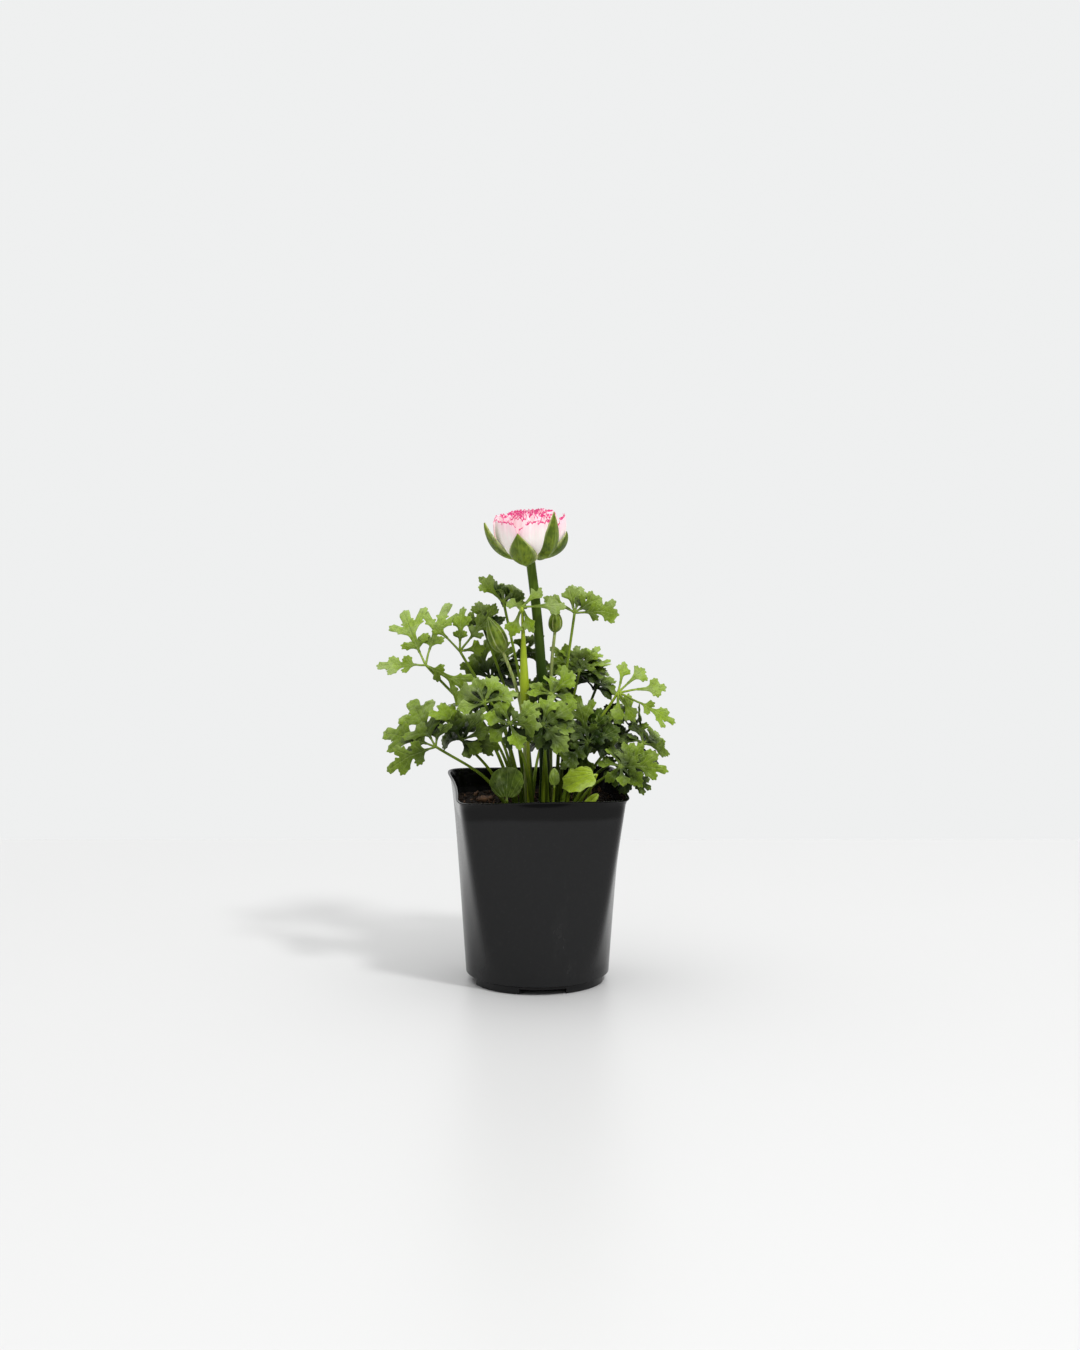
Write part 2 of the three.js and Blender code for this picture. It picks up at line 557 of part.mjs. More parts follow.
let petalNumber = 0;
for (const whorl of petalWhorls) {
  for (let i = 0; i < whorl.count; i += 1) {
    petalNumber += 1;
    add(`petal_${petalNumber}`, buildPetal(whorl, i), petalPink, 0.5);
  }
}

// Sepals press on the outer petals, so they give way to them.
const outerWhorl = petalWhorls[0];
sepals.forEach((sepal, i) => {
  const plate = wrappedPlate(sepal.profile, sepal.turn, sepal.span, sepalThickness, sepalWidth, 4, 5);
  let body = solid(plate.applyMatrix4(flowerPlace));
  for (let k = 0; k < outerWhorl.count; k += 1) {
    body = body.subtract(buildPetal(outerWhorl, k, seatClearance));
  }
  add(`sepal_${i + 1}`, largest(body), sepalGreen, 0.5);
});

export default part;
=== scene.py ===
"""A potted ranunculus: nursery pot, potting mix, open flower, buds and compound leaves.

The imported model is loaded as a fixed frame, and each piece here stands for one of its nodes.
"""
import math
import random

import bpy
import numpy as np
from bpy.props import FloatProperty, FloatVectorProperty, IntProperty, PointerProperty
from mathutils import Euler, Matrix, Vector, noise


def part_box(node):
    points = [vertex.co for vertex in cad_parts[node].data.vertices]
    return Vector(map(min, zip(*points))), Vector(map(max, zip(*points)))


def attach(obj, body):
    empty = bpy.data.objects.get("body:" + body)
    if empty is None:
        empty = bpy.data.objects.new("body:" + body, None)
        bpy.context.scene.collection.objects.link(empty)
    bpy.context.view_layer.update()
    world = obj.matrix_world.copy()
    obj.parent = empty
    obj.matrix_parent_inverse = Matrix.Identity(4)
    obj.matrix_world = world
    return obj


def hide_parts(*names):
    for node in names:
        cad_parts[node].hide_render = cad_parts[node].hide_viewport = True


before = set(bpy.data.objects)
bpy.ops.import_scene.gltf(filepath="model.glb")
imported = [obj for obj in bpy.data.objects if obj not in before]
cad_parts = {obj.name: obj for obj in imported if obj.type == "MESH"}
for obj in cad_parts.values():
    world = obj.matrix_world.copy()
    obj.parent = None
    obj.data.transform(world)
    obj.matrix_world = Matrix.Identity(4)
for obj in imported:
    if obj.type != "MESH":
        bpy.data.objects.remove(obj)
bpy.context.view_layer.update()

bl_info = {
    "name": "Potted Ranunculus",
    "version": (1, 0, 0),
    "blender": (4, 5, 0),
    "location": "View3D > Sidebar > Ranunculus",
    "description": "Builds a potted ranunculus around its packed model",
    "category": "Object",
}

# ------------------------------------------------------------------ places, in millimetres
# The pot's height comes from the imported model, and its other sizes are settings. The plant's places are
# the model's own: each foot and hub is measured from the middle of the soil, in the plant's directions.

MM = 0.001
POT_HEIGHT = float(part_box("pot")[1][2] / MM)
WATERING_SPACE = 14.0          # from the rim down to the soil
SOIL_TOP = POT_HEIGHT - WATERING_SPACE
FOOT_HEIGHT = 4.6
FOOT_WALL = 1.6
FLOOR_HEIGHT = 3.2             # underside of the raised floor
PAD_RADIUS = 12.0              # flat pad in the middle that also stands on the ground
SLOT_WIDTH, SLOT_HEIGHT = 28, 3.2
DRAIN_WIDTH, DRAIN_REACH = 14, (29.8, 37.8)
ROUND_HEIGHT = 14.0            # the pot is round up to here
SQUARENESS = 10.5              # exponent of the rounded square at the rim
SQUARING_POWER = 0.75          # below 1, the corners form sooner above the round part
FACET_CROWDING = 0.15          # how far the facets crowd towards the corners, in radians
FLARE_DEPTH = 4.0              # how far below the rim the corners start to lean out
POT_SIDES, SOIL_SIDES = 176, 160
SEAT_GAP = 0.3                 # between pieces that touch
ROOTING_DEPTH = 5.0            # how far stalks reach into the soil
FLOWER_FOOT = 256.0 - SOIL_TOP
STEM_TOP = (-4.2, 0.0, FLOWER_FOOT)
STEM_WAY = ((4.6, 0, -ROOTING_DEPTH), (4.4, 0, 20), (2.6, 0, 80), (-0.4, 0, FLOWER_FOOT - 32))
FLOWER_LEAN = 3.0              # degrees, to the left
RECEPTACLE_RADIUS = 6.6
LEAF_DROOP = math.radians(22) / 30     # how fast a blade bends down, away from its hub
BUSHY_SHARE = 0.15             # leaflets with stalks up to this share stand close together

# name, foot, hub, way the upper side faces, tone from bluish 0 to yellowish 1, and the leaflets as
# (turn clockwise from upright, length, width, stalk share)
LEAVES = (
    ("leaf_far_left", (-13, -3), (-66, -8, 88), (-0.2, -0.8, 0.5), 0.35,
     ((-96, 30, 17, 0.2), (-34, 53, 23, 0.2), (2, 50, 20, 0.22), (112, 36, 13, 0.1))),
    ("leaf_low_left", (-17, -17), (-60, -24, 42), (-0.3, -0.7, 0.6), 0.4,
     ((-118, 34, 22, 0.16), (-76, 44, 32, 0.16), (-38, 46, 32, 0.16), (-6, 33, 24, 0.16))),
    ("leaf_left_stem", (-9, 4), (-46, 4, 94), (-0.2, -0.9, 0.3), 0.4,
     ((-45, 23, 10, 0.5), (-2, 27, 12, 0.25), (34, 30, 14, 0.35), (78, 16, 10, 0.2))),
    ("leaf_crown", (-3, 5), (-20, 2, 124), (0, -0.75, 0.65), 0.3,
     ((-50, 20, 10, 0.15), (-6, 20, 11, 0.15), (40, 19, 10, 0.15), (100, 15, 8, 0.2))),
    ("leaf_crown_low", (-7, 10), (-32, 10, 107), (-0.3, -0.8, 0.4), 0.35,
     ((-66, 14, 10, 0.15), (-22, 19, 12, 0.15), (24, 17, 11, 0.15))),
    ("leaf_front_of_stem", (-5, -12), (-9, -10, 123), (0, -0.9, 0.4), 0.6,
     ((-155, 19, 11, 0.2), (-70, 10, 8, 0.2), (44, 18, 11, 0.2), (82, 26, 13, 0.3), (160, 16, 9, 0.2))),
    ("leaf_top_right", (11, 1), (22, 0, 118), (0.2, -0.8, 0.5), 0.4,
     ((-50, 20, 13, 0.2), (-8, 18, 12, 0.2), (24, 24, 13, 0.2), (62, 25, 16, 0.2), (96, 29, 14, 0.25))),
    ("leaf_back_right", (13, 9), (25, 14, 80), (0.1, -0.7, 0.7), 0.8,
     ((-100, 16, 9, 0.1), (-70, 20, 10, 0.1), (-42, 23, 11, 0.1), (-16, 22, 10, 0.1),
      (10, 23, 11, 0.1), (36, 24, 11, 0.1), (64, 23, 11, 0.1), (92, 19, 10, 0.1))),
    ("leaf_upper_right", (17, 14), (36, 24, 70), (0.4, -0.5, 0.7), 0.55,
     ((-42, 17, 10, 0.1), (-10, 20, 10, 0.1), (22, 21, 11, 0.1), (54, 21, 11, 0.1), (86, 19, 10, 0.1),
      (118, 16, 9, 0.1))),
    ("leaf_right", (17, -2), (48, -5, 71), (0.2, -0.8, 0.5), 0.9,
     ((18, 21, 9, 0.3), (52, 28, 12, 0.35), (86, 30, 12, 0.4), (117, 39, 15, 0.4), (148, 20, 12, 0.3),
      (-172, 18, 12, 0.25))),
    ("leaf_low_right", (22, -20), (49, -24, 30), (0.1, -0.8, 0.6), 0.55,
     ((-130, 12, 10, 0.1), (-66, 15, 12, 0.1), (-12, 19, 14, 0.1), (32, 22, 14, 0.1),
      (66, 24, 14, 0.1), (98, 28, 14, 0.1), (134, 18, 12, 0.1), (172, 14, 11, 0.1))),
    ("leaf_right_edge", (20, -8), (63, -6, 40), (0.3, -0.6, 0.7), 0.45,
     ((-40, 17, 13, 0.15), (8, 21, 13, 0.15), (56, 25, 13, 0.15), (104, 19, 11, 0.15))),
    ("leaf_centre", (-12, -12), (-31, -38, 71), (-0.1, -0.85, 0.5), 0.35,
     ((-112, 17, 12, 0.15), (-66, 20, 14, 0.15), (-22, 19, 13, 0.15), (22, 20, 13, 0.15),
      (64, 21, 13, 0.15))),
    ("leaf_centre_front", (-3, -18), (-16, -43, 60), (0, -0.85, 0.5), 0.4,
     ((-132, 17, 12, 0.1), (-80, 17, 11, 0.1), (-28, 17, 12, 0.1), (52, 23, 13, 0.1),
      (98, 20, 12, 0.1), (158, 19, 13, 0.1))),
    ("leaf_centre_right", (6, -16), (3, -38, 58), (0.1, -0.85, 0.5), 0.35,
     ((-72, 13, 10, 0.1), (-26, 18, 12, 0.1), (16, 21, 13, 0.1), (58, 25, 14, 0.1), (98, 21, 13, 0.1),
      (142, 23, 14, 0.15), (-165, 14, 10, 0.1))),
    ("leaf_left_middle", (-19, -7), (-45, -18, 45), (-0.3, -0.8, 0.5), 0.55,
     ((-84, 18, 14, 0.1), (-38, 28, 19, 0.15), (8, 27, 18, 0.15), (70, 22, 14, 0.15),
      (112, 15, 11, 0.15))),
    ("leaf_back_left_upper", (-13, 12), (-28, 14, 76), (-0.1, -0.8, 0.5), 0.3,
     ((-70, 19, 14, 0.1), (-25, 27, 16, 0.1), (20, 28, 16, 0.1), (64, 21, 14, 0.1))),
    ("leaf_tall_right", (14, -12), (30, -12, 42), (0.1, -0.9, 0.3), 0.2,
     ((-88, 20, 14, 0.15), (-44, 24, 15, 0.15), (-2, 32, 16, 0.1), (40, 25, 14, 0.15),
      (86, 19, 13, 0.15), (-130, 24, 15, 0.15), (-168, 22, 15, 0.15))),
    ("leaf_middle", (3, -8), (8, -22, 73), (0.1, -0.7, 0.7), 0.75,
     ((-80, 16, 12, 0.1), (-34, 19, 13, 0.1), (10, 20, 13, 0.1), (56, 20, 13, 0.1), (102, 16, 12, 0.1))),
    ("leaf_back_left", (-13, 20), (-38, 38, 52), (-0.5, 0.7, 0.5), 0.4,
     ((-70, 19, 14, 0.1), (-24, 22, 15, 0.1), (24, 22, 15, 0.1), (70, 19, 13, 0.1))),
    ("leaf_back", (2, 20), (6, 45, 62), (0, 0.8, 0.6), 0.45,
     ((-86, 21, 14, 0.1), (-42, 23, 15, 0.1), (0, 23, 15, 0.1), (42, 23, 15, 0.1), (86, 21, 14, 0.1))),
    ("leaf_back_far_right", (22, 17), (40, 40, 42), (0.4, 0.7, 0.6), 0.35,
     ((-80, 19, 13, 0.1), (-36, 23, 15, 0.1), (8, 23, 15, 0.1), (52, 21, 14, 0.1), (96, 17, 12, 0.1),
      (140, 24, 15, 0.1), (-172, 26, 16, 0.1), (-126, 24, 15, 0.1))),
    ("leaf_back_low", (-3, 27), (4, 56, 34), (-0.1, 0.8, 0.6), 0.5,
     ((-72, 21, 14, 0.1), (-24, 23, 15, 0.1), (24, 21, 14, 0.1), (72, 20, 14, 0.1), (118, 19, 14, 0.1),
      (162, 18, 14, 0.1), (-154, 18, 14, 0.1), (-112, 19, 14, 0.1))),
    ("leaf_side_right", (24, 5), (60, 20, 48), (0.7, 0.1, 0.6), 0.45,
     ((-72, 19, 13, 0.1), (-28, 21, 14, 0.1), (14, 21, 14, 0.1), (60, 19, 13, 0.1))),
    ("leaf_centre_back", (-7, 16), (-10, 26, 88), (-0.2, 0.7, 0.7), 0.45,
     ((-84, 17, 12, 0.1), (-40, 20, 14, 0.1), (4, 20, 14, 0.1), (48, 20, 13, 0.1))),
)

# name, foot, hub, facing, tone (below 0 the blade is painted darker, as shade), (turn, length, width),
# number of rounded teeth, how deep they are
YOUNG_LEAVES = (
    ("round_leaf", (-17, -31), (-18, -35, 12), (-0.1, -0.9, 0.3), -0.55, (0, 20, 20), 0, 0.0),
    ("fan_leaf", (28, -28), (35, -32, 27), (0.1, -0.7, 0.6), 1.35, (-104, 21, 18), 9, 1.0),
    ("shoot_front", (9, -27), (10, -29, 19), (0, -0.9, 0.3), 0.8, (0, 11, 7), 3, 0.6),
    ("shoot_right", (22, -38), (25, -40, 7), (0.2, -0.9, 0.4), 1.4, (52, 15, 5), 0, 0.0),
)

# name, foot, way up, where the bud begins, its tip and its width
BUDS = (
    ("bud_1", (-6, -7), ((-9, -7, 58), (-13, -7, 76)), (-20, -6, 95), (-29, -6, 116.5), 10.5),
    ("bud_2", (8, 6), ((8, 6, 50), (8.5, 6, 85)), (10.4, 6, 105), (11, 6, 119), 8),
)


# ------------------------------------------------------------------ curves and frames

def lerp(a, b, t):
    return a + (b - a) * t


def smoothstep(x, low, high):
    t = np.clip((x - low) / (high - low), 0, 1)
    return t * t * (3 - 2 * t)


def in_plant(points):
    """Places in the plant's own directions above the soil, in the pot's frame."""
    turn = math.radians(bpy.context.scene.ranunculus_plant.turn_degrees)
    p = np.atleast_2d(np.array(points, float))
    out = np.column_stack((*rotated(p[:, 0], p[:, 1], turn), p[:, 2] + SOIL_TOP))
    return out if np.ndim(points) > 1 else out[0]


def smooth_path(points, count):
    """A centripetal Catmull-Rom curve through the points."""
    p = [np.array(q, float) for q in points]
    p = [2 * p[0] - p[1], *p, 2 * p[-1] - p[-2]]
    stretches = len(p) - 3
    out = []
    for k in range(count):
        s = k / (count - 1) * stretches
        i = min(int(s), stretches - 1)
        p0, p1, p2, p3 = p[i:i + 4]
        t0 = 0.0
        t1 = t0 + max(np.linalg.norm(p1 - p0), 1e-9) ** 0.5
        t2 = t1 + max(np.linalg.norm(p2 - p1), 1e-9) ** 0.5
        t3 = t2 + max(np.linalg.norm(p3 - p2), 1e-9) ** 0.5
        t = lerp(t1, t2, s - i)
        a1 = ((t1 - t) * p0 + (t - t0) * p1) / (t1 - t0)
        a2 = ((t2 - t) * p1 + (t - t1) * p2) / (t2 - t1)
        a3 = ((t3 - t) * p2 + (t - t2) * p3) / (t3 - t2)
        b1 = ((t2 - t) * a1 + (t - t0) * a2) / (t2 - t0)
        b2 = ((t3 - t) * a2 + (t - t1) * a3) / (t3 - t1)
        out.append(((t2 - t) * b1 + (t - t1) * b2) / (t2 - t1))
    return np.array(out)


def rotated(x, y, turn):
    """Places turned about Z by an angle in radians."""
    c, s = math.cos(turn), math.sin(turn)
    return x * c - y * s, x * s + y * c


def blade_axes(degrees):
    """Along and across a leaflet that is turned clockwise from upright."""
    a = math.radians(degrees)
    return np.array((math.sin(a), math.cos(a))), np.array((math.cos(a), -math.sin(a)))


def leaf_axes(face):
    """The leaf's own directions: right, up and out of its upper side."""
    out = Vector(face).normalized()
    up = Vector((0, 0, 1))
    up = (up - out * up.dot(out)).normalized()
    return np.array(up.cross(out)), np.array(up), np.array(out)


# ------------------------------------------------------------------ meshes

class Shell:
    """Vertices, faces and point attributes of one piece, gathered from closed shells."""

    def __init__(self):
        self.verts, self.faces, self.values = [], [], {}
        self.count = 0

    def add(self, verts, faces, **values):
        verts = np.asarray(verts, float)
        self.faces.extend(tuple(i + self.count for i in face) for face in faces)
        self.verts.append(verts)
        for name in set(self.values) | set(values):
            column = values.get(name, 0.0)
            column = np.broadcast_to(np.asarray(column, float), (len(verts),))
            self.values.setdefault(name, [np.zeros(self.count)]).append(column)
        self.count += len(verts)

    def piece(self, name, material):
        mesh = bpy.data.meshes.new(name)
        mesh.from_pydata((np.concatenate(self.verts) * MM).tolist(), [], self.faces)
        for key, columns in self.values.items():
            layer = mesh.attributes.new(key, "FLOAT", "POINT")
            layer.data.foreach_set("value", np.concatenate(columns).astype(np.float32))
        mesh.polygons.foreach_set("use_smooth", [True] * len(mesh.polygons))
        mesh.materials.append(material)
        piece = bpy.data.objects.new(name, mesh)
        bpy.context.scene.collection.objects.link(piece)
        return piece


def ring_faces(rings, sides):
    """Faces of a body made of rings, with a flat cap at each end."""
    faces = []
    for i in range(rings - 1):
        for k in range(sides):
            a, b = i * sides + k, i * sides + (k + 1) % sides
            faces.append((a, b, b + sides, a + sides))
    faces.append(tuple(reversed(range(sides))))
    faces.append(tuple(range((rings - 1) * sides, rings * sides)))
    return faces


def pole_faces(rings, sides):
    """Faces of a body made of a first pole, rings, and a last pole."""
    faces = []
    for k in range(sides):
        after = (k + 1) % sides
        faces.append((0, 1 + after, 1 + k))
        for i in range(rings - 1):
            a, b = 1 + i * sides + k, 1 + i * sides + after
            faces.append((a, b, b + sides, a + sides))
        last = 1 + (rings - 1) * sides
        faces.append((last + k, last + after, last + sides))
    return faces


def tube(path, radii, sides, groove=0.0, ridges=0, ridge=0.0):
    """A closed round bar along a path. Returns vertices, faces and how far along each vertex is."""
    path = np.asarray(path, float)
    n = len(path)
    tangents = np.gradient(path, axis=0)
    tangents /= np.linalg.norm(tangents, axis=1)[:, None]
    side = np.cross(tangents[0], (0.0, 1.0, 0.0) if abs(tangents[0][1]) < 0.9 else (1.0, 0.0, 0.0))
    side /= np.linalg.norm(side)
    verts, along = [], []
    turns = np.arange(sides) * 2 * math.pi / sides
    for i in range(n):
        side = side - tangents[i] * side.dot(tangents[i])
        side /= np.linalg.norm(side)
        other = np.cross(tangents[i], side)
        shape = 1 - groove * np.maximum(0, np.cos(turns)) ** 4 + ridge * np.cos(ridges * turns)
        around = np.cos(turns)[:, None] * side + np.sin(turns)[:, None] * other
        verts.extend(path[i] + radii[i] * shape[:, None] * around)
        along.extend([i / (n - 1)] * sides)
    return np.array(verts), ring_faces(n, sides), np.array(along)


def plate(surface, normal, thickness, across, along):
    """A closed thin shell over a grid of (u, v). surface gives points, normal their directions."""
    u, v = np.meshgrid(np.linspace(-1, 1, across + 1), np.linspace(0, 1, along + 1))
    u, v = u.ravel(), v.ravel()
    centre, out = surface(u, v), normal(u, v)
    rim = np.minimum(1 - np.abs(u), np.minimum(v, 1 - v))
    half = thickness / 2 * (0.35 + 0.65 * smoothstep(rim, 0, 0.08))[:, None]
    verts = np.concatenate((centre + out * half, centre - out * half))
    n, row = len(u), across + 1
    faces = []
    for j in range(along):
        for i in range(across):
            a = j * row + i
            faces.append((a, a + 1, a + row + 1, a + row))
            faces.append((a + n + row, a + n + row + 1, a + n + 1, a + n))
    loop = list(range(across + 1))
    loop += [j * row + across for j in range(1, along + 1)]
    loop += [along * row + i for i in range(across - 1, -1, -1)]
    loop += [j * row for j in range(along - 1, 0, -1)]
    for a, b in zip(loop, loop[1:] + loop[:1]):
        faces.append((a + n, b + n, b, a))
    return verts, faces, np.tile(u, 2), np.tile(v, 2)


def finish_piece(piece, slot, *nodes):
    """Rides the piece on the one body, and lets it stand for its nodes."""
    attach(piece, "root")
    if nodes:
        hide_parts(*nodes)


# ------------------------------------------------------------------ shader building

class Value:
    """One output of a shader node, so that sums on values are written as Python sums."""

    def __init__(self, paint, socket):
        self.paint, self.socket = paint, socket

    def math(self, operation, *values):
        return self.paint.node("ShaderNodeMath", {"operation": operation}, dict(enumerate(values)))

    def __add__(self, other):
        return self.math("ADD", self, other)

    def __radd__(self, other):
        return self.math("ADD", other, self)

    def __sub__(self, other):
        return self.math("SUBTRACT", self, other)

    def __rsub__(self, other):
        return self.math("SUBTRACT", other, self)

    def __mul__(self, other):
        return self.math("MULTIPLY", self, other)

    def __pow__(self, other):
        return self.math("POWER", self, other)

    def ramp(self, low, high):
        """0 below low, 1 above high, smooth between."""
        return self.paint.node("ShaderNodeMapRange", {"interpolation_type": "SMOOTHSTEP"},
                               {"Value": self, "From Min": low, "From Max": high})


class Paint:
    """Builds the nodes of one material, or of the surroundings."""

    def __init__(self, name, kind="materials", end="ShaderNodeOutputMaterial"):
        self.material = getattr(bpy.data, kind).new(name)
        self.material.use_nodes = True
        self.tree = self.material.node_tree
        self.tree.nodes.clear()
        self.output = self.tree.nodes.new(end)

    def node(self, kind, settings=None, sockets=None, out=0):
        """Adds a node: its settings first, then its sockets by name or number. Returns one output."""
        node = self.tree.nodes.new(kind)
        for key, value in (settings or {}).items():
            if key == "stops":
                while len(node.color_ramp.elements) < len(value):
                    node.color_ramp.elements.new(0.5)
                for element, (at, colour) in zip(node.color_ramp.elements, value):
                    element.position = at
                    element.color = (*colour, 1)
            else:
                setattr(node, key, value)
        for key, value in (sockets or {}).items():
            socket = node.inputs[key]
            if isinstance(value, Value):
                self.tree.links.new(value.socket, socket)
            elif socket.type == "RGBA":
                socket.default_value = (*value[:3], 1)
            else:
                socket.default_value = value
        return Value(self, node.outputs[out])

    def place(self):
        return self.node("ShaderNodeTexCoord", out="Object")

    def attribute(self, name):
        return self.node("ShaderNodeAttribute", {"attribute_name": name}, out="Fac")

    def noise(self, scale, detail=3.0, rough=0.55, where=None, squash=None):
        where = where or self.place()
        if squash:
            where = self.node("ShaderNodeMapping", None, {"Vector": where, "Scale": squash})
        return self.node("ShaderNodeTexNoise", None,
                         {"Vector": where, "Scale": scale, "Detail": detail, "Roughness": rough}, out="Fac")

    def mix(self, factor, one, other):
        """A colour between one and other."""
        return self.node("ShaderNodeMix", {"data_type": "RGBA"}, {0: factor, 6: one, 7: other}, out=2)

    def bump(self, height, strength, distance, under=None):
        sockets = {"Height": height, "Strength": strength, "Distance": distance}
        if under:
            sockets["Normal"] = under
        return self.node("ShaderNodeBump", None, sockets)

    def finish(self, sockets):
        shader = self.node("ShaderNodeBsdfPrincipled", None, sockets)
        self.tree.links.new(shader.socket, self.output.inputs["Surface"])
        return self.material


PAINTED_RIM_SHADE_BAND = (0.109, 0.1125)      # heights in metres over which the pot turns, towards the rim, to a darker band free of dust: painted shade for the darker reflection below the rim


def paint_pot(settings):
    """Black recycled plastic: soft gloss, faint smudges, tiny pits, grains of dry mix, and a band of
    painted shade at the top.
    """
    p = Paint("pot_plastic")
    cloud = p.noise(28, 4, 0.6)
    smudge = p.noise(60, 5, 0.65, squash=(1, 1, 0.35)).ramp(0.55, 0.80)
    speck = p.noise(1100, 2, 0.5).ramp(0.72, 0.80)
    grain = p.noise(450, 4, 0.7)
    height = p.node("ShaderNodeSeparateXYZ", None, {0: p.place()}, out="Z")
    # Painted shade: a darker band without dust at the top of the pot
    painted_rim_shade = (height + cloud * 0.006).ramp(*PAINTED_RIM_SHADE_BAND)
    dust = smudge * 0.10 + speck * 0.30 + grain.ramp(0.5, 0.8) * 0.06
    base = p.mix(dust * (1 - painted_rim_shade), settings.colour, settings.dust_colour)
    # The band is painted a tenth as bright as the plastic
    base = p.mix(painted_rim_shade, base, tuple(0.1 * c for c in settings.colour))
    rough = 0.17 + cloud * 0.06 + smudge * 0.08 + grain * 0.05 - painted_rim_shade * 0.06
    skin = p.bump(p.noise(1500, 3, 0.6), 0.12, 0.00015)
    waves = p.bump(p.noise(30, 2, 0.4), 0.10, 0.001, skin)
    return p.finish({"Base Color": base, "Roughness": rough, "Normal": waves, "Specular IOR Level": 0.21})


def paint_soil(name, settings, lift):
    """Moist potting mix: dark lumps, drier tops and pale fibres. lift makes it paler."""
    p = Paint(name)
    shade = p.attribute("shade")
    coarse = p.noise(160, 5, 0.65)
    fine = p.noise(900, 3, 0.6)
    dry = (coarse * 0.6 + shade * 0.6 + lift).ramp(0.25, 1.0)
    base = p.mix(dry, settings.dark_colour, settings.light_colour)
    base = p.mix(fine.ramp(0.62, 0.75) * 0.5, base, settings.fibre_colour)
    lumps = p.bump(coarse * 0.7 + fine * 0.3, 0.8, 0.0012)
    return p.finish({"Base Color": base, "Roughness": 0.92, "Normal": lumps, "Specular IOR Level": 0.2})


def paint_bark(settings):
    """Bark: brown, with long fibres."""
    p = Paint("bark_fibres")
    grain = p.noise(260, 4, 0.6, squash=(0.25, 1, 1.6))
    base = p.mix(grain.ramp(0.35, 0.7), settings.bark_dark, settings.bark_light)
    return p.finish({"Base Color": base, "Roughness": 0.85, "Normal": p.bump(grain, 0.9, 0.0015)})


def paint_stalk(name, low, high, streak):
    """Green stems: darker towards the foot with painted shade, fine lengthwise streaks and a soft gloss."""
    p = Paint(name)
    along = p.attribute("along")
    streaks = p.noise(900, 3, 0.5, squash=(1, 1, 0.06))
    blotch = p.noise(70, 3, 0.5)
    base = p.mix(streaks.ramp(0.45, 0.75) * 0.45, high, streak)
    # Painted shade: the stem darkens towards its foot, within the leaves
    base = p.mix(1 - along.ramp(0.25, 0.95), base, low)
    base = p.mix(blotch.ramp(0.5, 0.8) * 0.25, base, tuple(0.6 * c for c in high))
    ribs = p.bump(streaks, 0.35, 0.0004)
    return p.finish({"Base Color": base, "Roughness": 0.42 + blotch * 0.12, "Normal": ribs,
                     "Specular IOR Level": 0.15, "Subsurface Weight": 0.03, "Subsurface Scale": 0.002})


def paint_leaf(settings):
    """Leaf tissue: green by tone, paler veins and rims, paler underside, painted highlights, and painted
    shade within the plant.
    """
    p = Paint("leaf_tissue")
    tone, vein, rim = p.attribute("tone"), p.attribute("vein"), p.attribute("rim")
    under, stalk, along = p.attribute("under"), p.attribute("stalk"), p.attribute("along")
    patch = p.noise(75, 3, 0.6)
    mottle = p.noise(420, 4, 0.6)
    green = p.mix((tone + patch * 0.7 - 0.35).ramp(0.0, 1.0), settings.cool_colour, settings.warm_colour)
    # Dark mottling, and painted shade on blades whose tone is below 0, such as the layer behind and the
    # round leaf
    green = p.mix(mottle.ramp(0.35, 0.75) * 0.4 + (tone * -1).ramp(0.0, 1.2), green, settings.dark_colour)
    green = p.mix((tone - 0.95).ramp(0.0, 0.8), green, settings.young_colour)
    green = p.mix(under * 0.5, green, settings.under_colour)
    # Painted highlight: pale patches on the upper side stand in for glints
    green = p.mix(patch.ramp(0.48, 0.72) * 0.5, green, settings.painted_highlight_colour)
    green = p.mix(vein.ramp(0.2, 0.9) * 0.60, green, settings.vein_colour)
    green = p.mix((1 - rim.ramp(0.0, 0.4)) * 0.35, green, settings.vein_colour)
    streaks = p.noise(700, 3, 0.5, squash=(1, 1, 0.08))
    shaft = p.mix((tone + streaks - 0.5).ramp(0.1, 1.6), settings.stalk_colour, settings.young_colour)
    # Painted shade: stalks darken towards their feet, low in the plant, all but the pale sheathed one
    stalk_foot_shade = (1 - along.ramp(0.1, 0.75)) * (2.2 - tone).ramp(0.0, 1.0) * 0.9
    shaft = p.mix(stalk_foot_shade, shaft, settings.dark_colour)
    green = p.mix(stalk, green, shaft)
    # How open the tissue is to the sky, and less so near a leaflet's hub: it paints highlights where open
    # and shade where closed off
    light = p.attribute("open") * (0.72 + along.ramp(0.10, 0.80) * 0.30)
    # Painted highlight where the tissue is open to the sky
    green = p.mix(light.ramp(0.74, 1.0) * (1 - stalk) * 0.30, green, settings.painted_highlight_colour)
    # Painted shade: tissue that other leaves close off from the sky turns to the inner green
    green = p.mix((1 - light.ramp(0.28, 0.90)) * 0.95, green, settings.shade_colour)
    pores = p.bump(p.noise(2600, 2, 0.5), 0.15, 0.0002)
    quilt = p.bump(mottle * 0.5 - vein * 0.3, 0.8, 0.0010, pores)
    return p.finish({"Base Color": green, "Roughness": 0.30 + mottle * 0.14, "Normal": quilt,
                     "Specular IOR Level": 0.15, "Subsurface Weight": 0.02, "Subsurface Scale": 0.001,
                     "Subsurface Radius": (0.7, 1.0, 0.2)})


